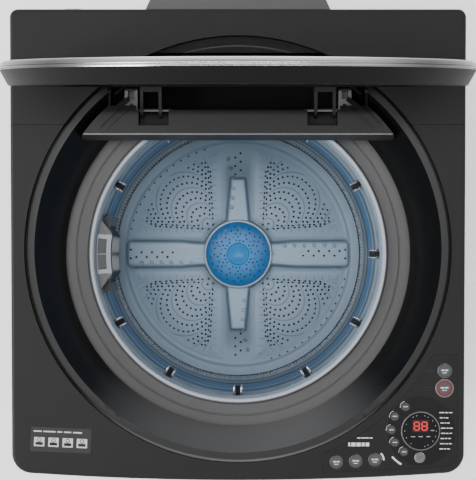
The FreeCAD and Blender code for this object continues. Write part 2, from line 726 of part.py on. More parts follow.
def hinge_shelf():
    """Shelf over the back of the funnel, with the well and pockets for the hinge."""
    edge_y = PIVOT_Y - SHELF_FORE
    low, far = SHELF_Z - STRIP_H, RECESS_R + 5
    shelf_r = RECESS_R - SHELF_IN
    top = disc(shelf_r, 0, RING_Y, SHELF_Z - SHELF_SKIRT, SHELF_Z)
    top = top.cut(disc(shelf_r - SHELF_T, 0, RING_Y, SHELF_Z - SHELF_SKIRT - 1, SHELF_Z - SHELF_T))
    top = top.common(box(-far, far, edge_y, far, low, DECK_Z))
    strip = slab_x([(edge_y, SHELF_Z), (edge_y + SHELF_T, SHELF_Z), (edge_y + SHELF_T - STRIP_SLOPE, low),
                    (edge_y - STRIP_SLOPE, low)], -far, far)
    strip = strip.common(cone(FUNNEL_R - FACE_GAP, THROAT_R - FACE_GAP))
    strip = strip.common(disc(shelf_r, 0, RING_Y, low - 1, DECK_Z))
    t = SHELF_T
    well_y = PIVOT_Y - WELL_LIP
    well = box(-WELL_X - t, WELL_X + t, well_y - t, WELL_BACK + t, WELL_FLOOR - t, SHELF_Z - t)
    ledge = box(-WELL_X - t, WELL_X + t, WELL_BACK, Y_BACK - WELL_END_IN,
                DECK_Z - WELL_LEDGE_DROP - t, DECK_Z - WELL_LEDGE_DROP)
    shelf = top.fuse([strip, well, ledge])
    pocket_foot = DECK_Z - SLOT_DROP
    for pocket in both_sides(SLOT_X0 - t, SLOT_X1 + t, PIVOT_Y - SLOT_FORE - t, PIVOT_Y, pocket_foot - t,
                             SHELF_Z - t):
        shelf = shelf.fuse(pocket)
    shelf = shelf.cut(box(-WELL_X, WELL_X, well_y, WELL_BACK, WELL_FLOOR, DECK_Z))
    for slot in both_sides(SLOT_X0, SLOT_X1, PIVOT_Y - SLOT_FORE, PIVOT_Y, pocket_foot, DECK_Z):
        shelf = shelf.cut(slot)
    for lip in both_sides(SLOT_X1 + t, WELL_X, well_y - t, well_y + WELL_OVERHANG, SHELF_Z - t, SHELF_Z):
        shelf = shelf.fuse(lip)
    for taken in hinge_pins() + hinge_brackets():
        shelf = shelf.cut(taken)
    x, y = shelf_cap_centre()
    shelf = shelf.cut(disc(SHELF_CAP_R + MOULD_GAP, x, y, SHELF_Z - SHELF_CAP_SINK, SHELF_Z + 1))
    return shelf.removeSplitter()


def shelf_cap():
    """Round plug in the shelf."""
    x, y = shelf_cap_centre()
    z = SHELF_Z - SHELF_CAP_SINK
    return turned([(0, z), (SHELF_CAP_R, z), (SHELF_CAP_R, z + SHELF_CAP_T - 0.4),
                   (SHELF_CAP_R - 0.4, z + SHELF_CAP_T), (0, z + SHELF_CAP_T)], x, y)


def lid_bumpers():
    """Two rubber strips on the ledge, each with two round dots that the lid lands on."""
    r1 = LEDGE_R - BUMPER_IN
    z0, z1 = LEDGE_Z, LEDGE_Z + BUMPER_T
    dot_top = LID_Z - FACE_GAP
    strip = tube(r1, r1 - BUMPER_W, 0, RING_Y, z0, z1)
    middle = math.radians(BUMPER_DEG)
    half = math.radians(BUMPER_SPAN / 2)
    reach = RECESS_R + 20
    wedge = plate([(0, RING_Y)] + [(reach * math.cos(a), RING_Y - reach * math.sin(a))
                                   for a in (middle - half, middle + half)], z0, z1)
    bumper = strip.common(wedge)
    for side in (-1, 1):
        a = middle + side * math.radians(BUMPER_DOT_DEG)
        r = r1 - BUMPER_W / 2
        bumper = bumper.fuse(disc(BUMPER_DOT_R, r * math.cos(a), RING_Y - r * math.sin(a), z0, dot_top))
    return [bumper, mirrored(bumper)]


# ================================================================ lid
def opened(shape):
    """Turn a piece of the closed lid to the stored open position."""
    shape = shape.copy()
    shape.rotate(V(0, PIVOT_Y, PIVOT_Z), V(1, 0, 0), -LID_OPEN_DEG)
    return shape


def trim_to_chord(shape, tongue_half, tail_y):
    """Cut a lid piece along the hinge chord, leaving a tongue that reaches tail_y."""
    far, z0, z1 = LID_OUT_R + 5, LID_Z - 5, LID_Z + 60
    for side in both_sides(tongue_half, far, PIVOT_Y - CHORD_IN, far, z0, z1):
        shape = shape.cut(side)
    return shape.cut(box(-far, far, tail_y, far, z0, z1))


def lid_frame():
    """Flared plastic ring of the lid, with the tongue that drops into the well."""
    z0, z1 = LID_Z, LID_Z + BAND_H
    glass_r = LID_OUT_R - BEZEL_W - MOULD_GAP
    window_r = LID_R - WINDOW_IN
    ring = turned([(window_r, z0), (LID_R, z0), (LID_OUT_R, z1), (glass_r, z1), (glass_r, z1 + SEAT_H),
                   (glass_r - SEAT_W, z1 + SEAT_H), (glass_r - SEAT_W, z0 + SEAT_H),
                   (window_r + SEAT_H, z0 + SEAT_H), (window_r + SEAT_H, z1 + SEAT_H),
                   (window_r, z1 + SEAT_H)], 0, RING_Y)
    ring = trim_to_chord(ring, TONGUE_X, PIVOT_Y + TONGUE_OUT)
    tail = PIVOT_Y - GLASS_TAIL
    half = TONGUE_X - GLASS_TAIL_IN
    far = LID_OUT_R + 5
    ring = ring.cut(box(-far, far, tail, far, z1, z1 + 20))
    for side in both_sides(half, far, PIVOT_Y - CHORD_IN, far, z1, z1 + 20):
        ring = ring.cut(side)
    fore = PIVOT_Y - CHORD_IN - BRIDGE_W
    bridge = box(-far, far, fore, PIVOT_Y - CHORD_IN, z0, z1).common(disc(LID_R - 1, 0, RING_Y, z0, z1))
    tongue = box(-TONGUE_X, TONGUE_X, fore, PIVOT_Y + TONGUE_OUT, z0, z1)
    return ring.fuse([bridge, tongue]).removeSplitter()


def lid_bezel():
    """Bright band round the glass."""
    z0, r = LID_Z + BAND_H, LID_OUT_R
    in_r, top = r - BEZEL_W, z0 + BEZEL_H
    bead_z, step_z = z0 + BEZEL_GROOVE_H, z0 + BEZEL_STEP_Z
    bezel = turned([(in_r, z0), (r - BEZEL_GROOVE_W, z0), (r - BEZEL_GROOVE_W, bead_z), (r - 0.3, bead_z),
                    (r, bead_z + 0.6), (r - 0.2, step_z - 0.4), (r - BEZEL_STEP_IN, step_z),
                    (r - 0.2, step_z + 0.8), (r - 0.7, top - 3.2), (r - 2.0, top - 1.2), (r - 4.5, top),
                    (in_r, top)], 0, RING_Y)
    return trim_to_chord(bezel, TONGUE_X - GLASS_TAIL_IN, PIVOT_Y - GLASS_TAIL)


def lid_glass():
    """Crowned glass disc."""
    r = LID_OUT_R - BEZEL_W - MOULD_GAP
    z0 = LID_Z + BAND_H + SEAT_H
    z1 = z0 + GLASS_T
    ball_r = (r ** 2 + GLASS_CROWN ** 2) / (2 * GLASS_CROWN)
    glass = disc(r, 0, RING_Y, z0, z1 + GLASS_CROWN + 1)
    glass = glass.common(Part.makeSphere(ball_r, V(0, RING_Y, z1 + GLASS_CROWN - ball_r)))
    return trim_to_chord(glass, TONGUE_X - GLASS_TAIL_IN, PIVOT_Y - GLASS_TAIL)


def lid_arms():
    """Two channel arms from the lid's inner face down to the axles."""
    outline = [(PIVOT_Y - ARM_FORE, LID_Z), (PIVOT_Y - BOSS_R, PIVOT_Z), (PIVOT_Y + BOSS_R, PIVOT_Z),
               (PIVOT_Y + ARM_AFT, LID_Z)]
    arm = None
    for x in (ARM_X0, ARM_X1 - CHEEK_T):
        cheek = slab_x(outline, x, x + CHEEK_T).fuse(rod_x(BOSS_R, x, x + CHEEK_T, PIVOT_Y, PIVOT_Z))
        arm = cheek if arm is None else arm.fuse(cheek)
    arm = arm.fuse(box(ARM_X0, ARM_X1, PIVOT_Y - ARM_FORE, PIVOT_Y + ARM_AFT, LID_Z - CROSSBAR_T, LID_Z))
    bore = rod_x(PIN_R + RUN_CLEAR, ARM_X0 - 1, ARM_X1 + 1, PIVOT_Y, PIVOT_Z)
    arm = arm.cut(bore).removeSplitter()
    return [arm, mirrored(arm)]


# ================================================================ controls
def control_fascia():
    """Flush panel at the front right with holes for the display and the buttons."""
    panel = fascia_plan(0, DECK_Z - FASCIA_T, DECK_Z)
    rim_z = DECK_Z - FASCIA_RIM_H
    inner = FASCIA_SEAT + MOULD_GAP
    rim = fascia_plan(inner, rim_z, DECK_Z - 1)
    rim = rim.cut(fascia_plan(inner + FASCIA_RIM_T, rim_z - 1, DECK_Z))
    panel = panel.fuse(rim)
    for x, y in post_places():
        panel = panel.fuse(disc(POST_R, x, y, DECK_Z - BOARD_DROP, DECK_Z - 1))
    panel = panel.cut(disc(DISPLAY_R, DIAL_X, DIAL_Y, DECK_Z - FASCIA_T - 1, DECK_Z + 1))
    for dx, dy, r, _ring in BUTTONS.values():
        panel = panel.cut(disc(r + BUTTON_GAP, DIAL_X + dx, DIAL_Y + dy, rim_z, DECK_Z + 1))
    for zone in button_zones(rim_z - 1, DECK_Z - FASCIA_T):
        panel = panel.cut(zone)
    return panel


def post_places():
    """Posts that carry the board under the fascia."""
    return [(DIAL_X + dx, DIAL_Y + dy) for dx, dy in POSTS]


def control_board():
    """Circuit board under the fascia."""
    z1 = DECK_Z - BOARD_DROP
    return fascia_plan(BOARD_IN, z1 - BOARD_T, z1)


def button(dx, dy, r):
    """Push button with a retaining flange and a stem over the board."""
    top = DECK_Z + BUTTON_RISE
    under = DECK_Z - FASCIA_T - 0.1
    stem_end = DECK_Z - BOARD_DROP + BUTTON_TRAVEL + 0.5
    return turned([(0, top), (r - 0.5, top), (r, top - 0.5), (r, under), (r + BUTTON_FLANGE, under),
                   (r + BUTTON_FLANGE, under - BUTTON_FLANGE_T), (BUTTON_STEM_R, under - BUTTON_FLANGE_T),
                   (BUTTON_STEM_R, stem_end), (0, stem_end)], DIAL_X + dx, DIAL_Y + dy)


def trim_rings():
    """Bright rings round the display and the larger buttons."""
    z = DECK_Z
    sizes = [(0.0, 0.0, DISPLAY_R - DISPLAY_RING_W, DISPLAY_R)]
    sizes += [(dx, dy, r + BUTTON_GAP, ring) for dx, dy, r, ring in BUTTONS.values() if ring]
    rings = []
    for dx, dy, inner, outer in sizes:
        x, y = DIAL_X + dx, DIAL_Y + dy
        foot = z - FASCIA_T if outer == DISPLAY_R else z
        rings.append(turned([(inner, foot), (outer, foot), (outer, z + RING_RISE / 2),
                             (outer - 0.3, z + RING_RISE), (inner, z + RING_RISE)], x, y))
    return rings


def display_window():
    """Dark round window of the display."""
    return disc(DISPLAY_R - DISPLAY_RING_W, DIAL_X, DIAL_Y, DECK_Z - DISPLAY_T, DECK_Z + RING_RISE / 2)


# ================================================================ tub group
def rod_places():
    """Centres of the four suspension rods."""
    reach = ROD_R_FROM_AXIS * math.sqrt(0.5)
    return [(sx * reach, TUB_Y + sy * reach) for sx in (-1, 1) for sy in (-1, 1)]


def outer_tub():
    """Plastic water tub with four suspension lugs."""
    top = COVER_Z - COVER_T
    bore = SPIN_R + TUB_BORE_GAP
    floor_z, c = TUB_Z + TUB_FLOOR_T, TUB_CHAMFER
    tub = turned([(bore, TUB_Z), (TUB_OUT_R - c, TUB_Z), (TUB_OUT_R, TUB_Z + c), (TUB_OUT_R, top),
                  (TUB_IN_R, top), (TUB_IN_R, TUB_Z + c + 2), (TUB_IN_R - c + 3, floor_z),
                  (bore, floor_z)], 0, TUB_Y)
    start = TUB_OUT_R - TUB_WALL / 2
    for degrees in (45, 135, 225, 315):
        lug = box(start, ROD_R_FROM_AXIS + LUG_HALF, -LUG_HALF, LUG_HALF, LUG_Z, LUG_Z + LUG_T)
        rib = box(start, TUB_OUT_R + LUG_T, -LUG_RIB_HALF, LUG_RIB_HALF, LUG_Z + LUG_T, LUG_Z + LUG_RIB_H)
        lug = lug.cut(disc(ROD_HOLE_R, ROD_R_FROM_AXIS, 0, LUG_Z - 1, LUG_Z + LUG_T + 1)).fuse(rib)
        lug.rotate(V(0, 0, 0), V(0, 0, 1), degrees)
        lug.translate(V(0, TUB_Y, 0))
        tub = tub.fuse(lug)
    return tub


def tub_cover():
    """Ring on top of the tub, grooved, with a raised inner lip."""
    z, t = COVER_Z, COVER_T
    groove = THROAT_R - GROOVE_IN
    out_r = TUB_OUT_R + MOULD_GAP + t
    return turned([(LIP_R, z - t), (LIP_R, z + COVER_LIP_RISE - 1.5), (LIP_R + 1.5, z + COVER_LIP_RISE),
                   (LIP_R + COVER_LIP_W, z + COVER_LIP_RISE),
                   (LIP_R + COVER_LIP_W + COVER_LIP_SLOPE, z), (groove - GROOVE_HALF, z),
                   (groove - GROOVE_HALF / 2, z - GROOVE_DEPTH), (groove + GROOVE_HALF / 2, z - GROOVE_DEPTH),
                   (groove + GROOVE_HALF, z), (out_r - 2, z), (out_r, z - 2), (out_r, z - COVER_SKIRT),
                   (out_r - t, z - COVER_SKIRT), (out_r - t, z - t)], 0, TUB_Y)


def balance_ring():
    """Liquid-filled ring at the basket's mouth."""
    z0, z1, r0, r1 = BALANCE_FOOT, BALANCE_TOP, BALANCE_R, BALANCE_OUT_R
    return turned([(r0, z0 + 3), (r0 + 3, z0), (r1, z0), (r1, z1), (r0 + 7, z1), (r0 + 2, z1 - 1.5),
                   (r0, z1 - 5)], 0, TUB_Y)


def basket():
    """Steel basket wall with a step that carries the balance ring."""
    t, z0, z1 = BASKET_T, BASKET_BASE_Z, BALANCE_FOOT
    foot, top, flare = BASKET_FOOT_R, BASKET_TOP_R, FLARE_R
    knee = z0 + BASKET_STRAIGHT
    return turned([(foot + t, z0), (foot + t, knee), (top + t, z1 - t), (flare + t, z1 - t),
                   (flare + t, BALANCE_TOP - 2), (flare, BALANCE_TOP - 2), (flare, z1), (top, z1),
                   (foot, knee), (foot, z0)], 0, TUB_Y)


def basket_base():
    """Dished base of the basket, seated on the spin shaft's flange."""
    r = BASKET_FOOT_R - MOULD_GAP / 2
    z0, z1 = BASKET_BASE_Z, BASKET_BASE_TOP
    return turned([(SPIN_R, z0), (r, z0), (r, z1 + BASE_RIM_H), (r - BASE_RIM_T, z1 + BASE_RIM_H),
                   (r - BASE_RIM_T, z1), (SPIN_R, z1)], 0, TUB_Y)


def filter_zone(r_in, r_out, half, z0, z1):
    """Arc-shaped block on the basket's left wall."""
    ring = tube(r_out, r_in, 0, TUB_Y, z0, z1)
    return ring.common(box(-r_out - 1, 0, TUB_Y - half, TUB_Y + half, z0, z1))


def lint_filter():
    """Lint cassette on the left wall with two window recesses."""
    z1 = BALANCE_FOOT - FILTER_DROP
    z0 = z1 - FILTER_H
    rise = (z0 - BASKET_BASE_Z - BASKET_STRAIGHT) / (BALANCE_FOOT - BASKET_BASE_Z - BASKET_STRAIGHT)
    r_out = BASKET_FOOT_R + rise * BASKET_TAPER - FILTER_WALL_GAP
    r_in = r_out - FILTER_T
    cassette = filter_zone(r_in, r_out, FILTER_HALF, z0, z1)
    low = (z0 + z1 - FILTER_WINDOW_H) / 2
    off = FILTER_WINDOW_W / 2 + FILTER_MULLION_HALF
    for y in (TUB_Y - off, TUB_Y + off):
        cassette = cassette.cut(box(-r_in - 2, -r_in + FILTER_WINDOW_T + 20, y - FILTER_WINDOW_W / 2,
                                    y + FILTER_WINDOW_W / 2, low, low + FILTER_WINDOW_H))
    return cassette


# ================================================================ pulsator and drive
def pulsator():
    """Pulsator plate with a raised rim, four arms and a hub."""
    z0, z1 = PULSATOR_Z, PLATE_TOP
    r = PULSATOR_R
    plate_ring = turned([(WASH_R, z0 - HUB_DROP), (HUB_R, z0 - HUB_DROP), (HUB_R, z0), (r, z0),
                         (r, z1 + PULSATOR_RIM_H - 2), (r - 2, z1 + PULSATOR_RIM_H),
                         (r - PULSATOR_RIM_W + 3, z1 + PULSATOR_RIM_H), (r - PULSATOR_RIM_W, z1),
                         (WASH_R, z1)], 0, TUB_Y)
    long_x = PULSATOR_R - LONG_ARM_IN
    short_y = PULSATOR_R - SHORT_ARM_IN
    half = ARM_W / 2
    arm_x = box(-long_x, long_x, TUB_Y - half, TUB_Y + half, z1 - 1, z1 + ARM_RISE)
    arm_y = box(-half, half, TUB_Y - short_y, TUB_Y + short_y, z1 - 1, z1 + ARM_RISE)
    hub = disc(HUB_TOP_R, 0, TUB_Y, z1 - 1, CAP_TOP - CAP_T)
    top = arm_x.fuse([arm_y, hub])
    top = top.cut(disc(WASH_R, 0, TUB_Y, z1 - 2, CAP_TOP))
    return plate_ring.fuse(top)


def pulsator_cap():
    """Round cap over the pulsator's screw."""
    z0, z1 = CAP_TOP - CAP_T, CAP_TOP
    return turned([(0, z1 - 3), (CAP_BORE, z1 - 3), (CAP_BORE, z0), (CAP_R - 2, z0), (CAP_R, z0 + 2),
                   (CAP_R - 1, z1 - 3), (CAP_R - 5, z1), (0, z1)], 0, TUB_Y)


def screw_seat_z():
    """Top of the wash shaft, where the pulsator's screw seats."""
    return CAP_TOP - CAP_T - SCREW_GRIP


def pulsator_screw():
    """Hex-head screw on top of the wash shaft."""
    z = screw_seat_z()
    head = plate([(SCREW_HEAD_R * math.cos(math.radians(a)), TUB_Y + SCREW_HEAD_R * math.sin(math.radians(a)))
                  for a in range(0, 360, 60)], CAP_TOP - CAP_T, CAP_TOP - CAP_T + SCREW_HEAD_T)
    return head.fuse(disc(SCREW_R, 0, TUB_Y, z - SCREW_BITE, CAP_TOP - CAP_T))


def wash_shaft():
    """Inner shaft from the big pulley up to the pulsator."""
    z1 = screw_seat_z()
    shaft = disc(WASH_R, 0, TUB_Y, PULLEY_Z - SHAFT_TAIL, z1)
    return shaft.cut(disc(SCREW_R, 0, TUB_Y, z1 - SCREW_BITE, z1 + 1))


def housing_foot():
    """Lowest level of the bearing housing."""
    return TUB_Z - HOUSING_LEN


def spin_shaft():
    """Hollow shaft that carries the basket."""
    z0 = housing_foot() - DRUM_GAP
    z1 = BASKET_BASE_Z
    shaft = disc(SPIN_R, 0, TUB_Y, z0, BASKET_BASE_TOP).fuse(
        disc(SPIN_FLANGE_R, 0, TUB_Y, z1 - SPIN_FLANGE_T, z1))
    return shaft.cut(disc(WASH_R + RUN_CLEAR, 0, TUB_Y, z0 - 1, BASKET_BASE_TOP + 1))


def clutch_drum():
    """Clutch and brake drum at the foot of the spin shaft."""
    z1 = housing_foot() - DRUM_GAP
    z0 = z1 - DRUM_H
    step, lid_t = DRUM_STEP, DRUM_LID_T
    return turned([(WASH_R + RUN_CLEAR, z0), (DRUM_R - step, z0), (DRUM_R - step, z0 + step),
                   (DRUM_R, z0 + step), (DRUM_R, z1 - lid_t), (DRUM_BOSS_R, z1 - lid_t), (DRUM_BOSS_R, z1),
                   (WASH_R + RUN_CLEAR, z1)], 0, TUB_Y)


def motor_centre():
    """Motor's axis, on the right of the tub's."""
    return MOTOR_X, TUB_Y


def bearing_housing():
    """Housing under the tub with a side plate that carries the motor."""
    z0, z1 = housing_foot(), TUB_Z
    flange_z = z1 - HOUSING_FLANGE_T
    housing = turned([(BEARING_R, z0), (HOUSING_R, z0), (HOUSING_R, flange_z - HOUSING_WEB_H),
                      (HOUSING_FLANGE_R, flange_z), (HOUSING_FLANGE_R, z1), (BEARING_R, z1)], 0, TUB_Y)
    mx, my = motor_centre()
    plate_z = motor_top()
    start, top = HOUSING_R - PLATE_RIB_HALF, plate_z + PLATE_T
    side = box(start, mx + PLATE_REACH, my - PLATE_HALF, my + PLATE_HALF, plate_z, top)
    side = side.fuse(disc(PLATE_HALF, mx + PLATE_REACH, my, plate_z, top))
    rib = box(start, mx, my - PLATE_RIB_HALF, my + PLATE_RIB_HALF, top, top + PLATE_RIB_H)
    return housing.fuse([side, rib]).removeSplitter()


def motor_top():
    """Underside of the motor's plate."""
    return TUB_Z - MOTOR_DROP


def bearings():
    """Two ball bearings for the spin shaft, each one ring-shaped solid."""
    low, high = housing_foot() + BEARING_LOW, TUB_Z - BEARING_HIGH
    return [tube(BEARING_R, SPIN_R + RUN_CLEAR, 0, TUB_Y, z, z + BEARING_T) for z in (low, high)]


def drive_pulley():
    """Large spoked pulley on the wash shaft."""
    z0, z1 = PULLEY_Z, PULLEY_Z + PULLEY_H
    web0, web1 = (z0 + z1 - PULLEY_WEB_T) / 2, (z0 + z1 + PULLEY_WEB_T) / 2
    boss, rim, r, f = PULLEY_BOSS_R, PULLEY_R - PULLEY_RIM_T, PULLEY_R, PULLEY_FLANGE
    pulley = turned([(WASH_R, z0), (boss, z0), (boss, web0), (rim, web0), (rim, z0), (r + f, z0),
                     (r + f, z0 + f), (r, z0 + f + 1), (r, z1 - f - 1), (r + f, z1 - f), (r + f, z1),
                     (rim, z1), (rim, web1), (boss, web1), (boss, z1), (WASH_R, z1)], 0, TUB_Y)
    hole_at = (rim + boss) / 2
    for i in range(PULLEY_HOLES):
        a = 2 * math.pi * i / PULLEY_HOLES
        x, y = hole_at * math.cos(a), TUB_Y + hole_at * math.sin(a)
        pulley = pulley.cut(disc(PULLEY_HOLE_R, x, y, z0 - 1, z1 + 1))
    return pulley


def loop_outline(r_big, r_small, z0, z1):
    """Solid bounded by two arcs and their outer tangents, round both pulleys."""
    mx, my = motor_centre()
    lean = math.asin((r_big - r_small) / mx)
    c, s = math.cos(lean), math.sin(lean)
    a0, a1 = V(r_big * s, my + r_big * c, z0), V(r_big * s, my - r_big * c, z0)
    b0, b1 = V(mx + r_small * s, my + r_small * c, z0), V(mx + r_small * s, my - r_small * c, z0)
    edges = [Part.makeLine(a0, b0), Part.Arc(b0, V(mx + r_small, my, z0), b1).toShape(),
             Part.makeLine(b1, a1), Part.Arc(a1, V(-r_big, my, z0), a0).toShape()]
    return Part.Face(Part.Wire(edges)).extrude(V(0, 0, z1 - z0))


def drive_belt():
    """Flat belt round both pulleys."""
    z0 = PULLEY_Z + (PULLEY_H - BELT_H) / 2
    big, small = PULLEY_R + FACE_GAP, MOTOR_PULLEY_R + FACE_GAP
    outer = loop_outline(big + BELT_T, small + BELT_T, z0, z0 + BELT_H)
    return outer.cut(loop_outline(big, small, z0 - 1, z0 + BELT_H + 1))


def motor():
    """Motor housing hung under the plate."""
    mx, my = motor_centre()
    z1 = motor_top()
    z0 = z1 - MOTOR_H
    bore, end_r, end_h = MOTOR_SHAFT_R + RUN_CLEAR, MOTOR_R - MOTOR_END_IN, MOTOR_END_H
    return turned([(bore, z0), (MOTOR_FOOT_R, z0), (end_r, z0 + end_h), (MOTOR_R, z0 + end_h + 4),
                   (MOTOR_R, z1 - end_h - 4), (end_r, z1 - end_h), (end_r, z1), (0, z1),
                   (0, z1 - ROTOR_IN), (bore, z1 - ROTOR_IN)], mx, my)


def motor_rotor():
    """Motor shaft with its small flanged pulley."""
    mx, my = motor_centre()
    z0, z1 = PULLEY_Z, PULLEY_Z + PULLEY_H
    r, f = MOTOR_PULLEY_R, PULLEY_FLANGE
    end = motor_top() - ROTOR_IN - 2
    return turned([(0, z0), (r + f, z0), (r + f, z0 + f), (r, z0 + f + 1), (r, z1 - f - 1), (r + f, z1 - f),
                   (r + f, z1), (MOTOR_SHAFT_R, z1), (MOTOR_SHAFT_R, end), (0, end)], mx, my)


# ================================================================ suspension
def bracket_top():
    """Top of the corner brackets."""
    return DECK_Z - ROD_TOP_DROP


def corner_brackets():
    """Four pressed corner brackets that the rods hang from."""
    z1 = bracket_top()
    z0 = z1 - BRACKET_H
    brackets = []
    for x, y in rod_places():
        sx, sy = math.copysign(1, x), math.copysign(1, y - TUB_Y)
        near, far = x - sx * BRACKET_NEAR, x + sx * BRACKET_FAR
        y_far, y_side = y + sy * BRACKET_FAR, y - sy * BRACKET_SIDE
        outline = [(near, y_side), (near, y + sy * BRACKET_NEAR), (x + sx * BRACKET_RUN, y_far),
                   (far, y_far), (far, y_side)]
        bracket = plate(outline, z0, z1).common(prism(SHEET, z0, z1))
        bracket = bracket.cut(prism(SHEET + BRACKET_T, z0 - 1, z1 - BRACKET_T))
        bracket = bracket.cut(disc(ROD_R_FROM_AXIS - BRACKET_EDGE, 0, TUB_Y, z0 - 1, z1 + 1))
        brackets.append(bracket.cut(disc(ROD_R + HOLE_GAP, x, y, z0 - 1, z1 + 1)))
    return brackets


def suspension_rods():
    """Rods with a ball seat on top and a spring cup at the foot."""
    top = bracket_top()
    foot = LUG_Z - SPRING_LEN
    rods = []
    for x, y in rod_places():
        rods.append(turned([(0, foot - CUP_T), (CUP_R, foot - CUP_T), (CUP_R, foot), (ROD_R, foot),
                            (ROD_R, top), (BALL_SEAT_R, top), (BALL_SEAT_R, top + BALL_SEAT_H / 2),
                            (BALL_SEAT_R / 2, top + BALL_SEAT_H), (0, top + BALL_SEAT_H)], x, y))
    return rods


def suspension_springs():
    """Spring envelopes under the tub's lugs."""
    return [tube(SPRING_R, SPRING_BORE, x, y, LUG_Z - SPRING_LEN, LUG_Z) for x, y in rod_places()]


# ================================================================ services
def inlet_valve():
    """Water inlet valve with a threaded spigot through the back cover."""
    y1 = Y_BACK
    body = box(INLET_X - VALVE_HALF, INLET_X + VALVE_HALF, y1 - VALVE_DEEP, y1,
               INLET_Z - VALVE_HALF, INLET_Z + VALVE_HALF)
    middle, foot, top = y1 - VALVE_DEEP / 2, INLET_Z - VALVE_HALF, INLET_Z + VALVE_HALF
    coil = disc(COIL_R, INLET_X, middle, top - 1, top + COIL_H)
    outlet = tube(OUTLET_R, OUTLET_BORE, INLET_X, middle, foot - OUTLET_H, foot + OUTLET_BORE)
    spigot = rod_y(INLET_R, INLET_X, y1 - 1, y1 + INLET_OUT, INLET_Z)
    collar_y = y1 + SHEET
    collar = rod_y(INLET_R + SPIGOT_COLLAR_W, INLET_X, collar_y, collar_y + SPIGOT_COLLAR_T, INLET_Z)
    valve = body.fuse([coil, outlet, spigot, collar])
    return valve.cut(rod_y(INLET_BORE, INLET_X, y1 - VALVE_DEEP + VALVE_FACE, y1 + INLET_OUT + 1, INLET_Z))


def drain_pump():
    """Drain pump on the base's corner pad with its outlet through the back cover."""
    y = Y_BACK - PUMP_IN
    shoulder = BASE_TOP + PUMP_H
    top = shoulder + PUMP_MOTOR_H
    body = turned([(0, BASE_TOP), (PUMP_R, BASE_TOP), (PUMP_R, shoulder - PUMP_EDGE),
                   (PUMP_R - PUMP_EDGE, shoulder), (PUMP_MOTOR_R, shoulder), (PUMP_MOTOR_R, top), (0, top)],
                  DRAIN_X, y)
    spigot = rod_y(DRAIN_R, DRAIN_X, y, Y_BACK + DRAIN_OUT, DRAIN_Z)
    collar_y = Y_BACK + SHEET
    collar = rod_y(DRAIN_R + SPIGOT_COLLAR_W, DRAIN_X, collar_y, collar_y + SPIGOT_COLLAR_T - 1, DRAIN_Z)
    pump = body.fuse([spigot, collar])
    return pump.cut(rod_y(DRAIN_BORE, DRAIN_X, y, Y_BACK + DRAIN_OUT + 1, DRAIN_Z))


def cable_gland():
    """Bush for the mains lead."""
    x, y, z = GLAND_X, Y_BACK + SHEET, GLAND_Z
    gland = rod_y(GLAND_R, x, Y_BACK - GLAND_IN, y + GLAND_OUT, z)
    gland = gland.fuse(rod_y(GLAND_R + GLAND_FLANGE, x, y, y + GLAND_FLANGE_T, z))
    return gland.cut(rod_y(GLAND_BORE, x, Y_BACK - GLAND_IN - 1, y + GLAND_OUT + 1, z))


# ================================================================ build
def main():
    """Write every node."""
    os.makedirs("parts", exist_ok=True)
    save("cabinet_shell", cabinet_shell())
    save("rear_panel", rear_panel())
    save("panel_screws", *panel_screws())
    save("base_frame", base_frame())
    for name, (x, y) in foot_places().items():
        save(name, levelling_foot(x, y))
    front, back = deck()
    save("top_deck_front", front)
    save("top_deck_rear", back)
    save("funnel", funnel())
    save("hinge_shelf", hinge_shelf())
    save("shelf_cap", shelf_cap())
    save("hinge_brackets", *hinge_brackets())
    save("hinge_pins", *hinge_pins())
    save("lid_bumpers", *lid_bumpers())
    save("lid_frame", opened(lid_frame()))
    save("lid_bezel", opened(lid_bezel()))
    save("lid_glass", opened(lid_glass()))
    save("lid_arms", *[opened(arm) for arm in lid_arms()])
    save("control_fascia", control_fascia())
    save("control_board", control_board())
    save("display_window", display_window())
    save("trim_rings", *trim_rings())
    for name, (dx, dy, r, _ring) in BUTTONS.items():
        save(name, button(dx, dy, r))
    save("outer_tub", outer_tub())
    save("tub_cover", tub_cover())
    save("balance_ring", balance_ring())
    save("basket", basket())
    save("basket_base", basket_base())
    save("lint_filter", lint_filter())
    save("pulsator", pulsator())
    save("pulsator_cap", pulsator_cap())
    save("pulsator_screw", pulsator_screw())
    save("wash_shaft", wash_shaft())
    save("spin_shaft", spin_shaft())
    save("clutch_drum", clutch_drum())
    save("bearing_housing", bearing_housing())
    save("bearings", *bearings())
    save("drive_pulley", drive_pulley())
    save("drive_belt", drive_belt())
    save("motor", motor())
    save("motor_rotor", motor_rotor())
    save("corner_brackets", *corner_brackets())
    save("suspension_rods", *suspension_rods())
    save("suspension_springs", *suspension_springs())
    save("inlet_valve", inlet_valve())
    save("drain_pump", drain_pump())
    save("cable_gland", cable_gland())


main()
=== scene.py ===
"""Top load washing machine: looks, small fittings and the stage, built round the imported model."""
import math

import bmesh
import bpy
from mathutils import Matrix, Vector


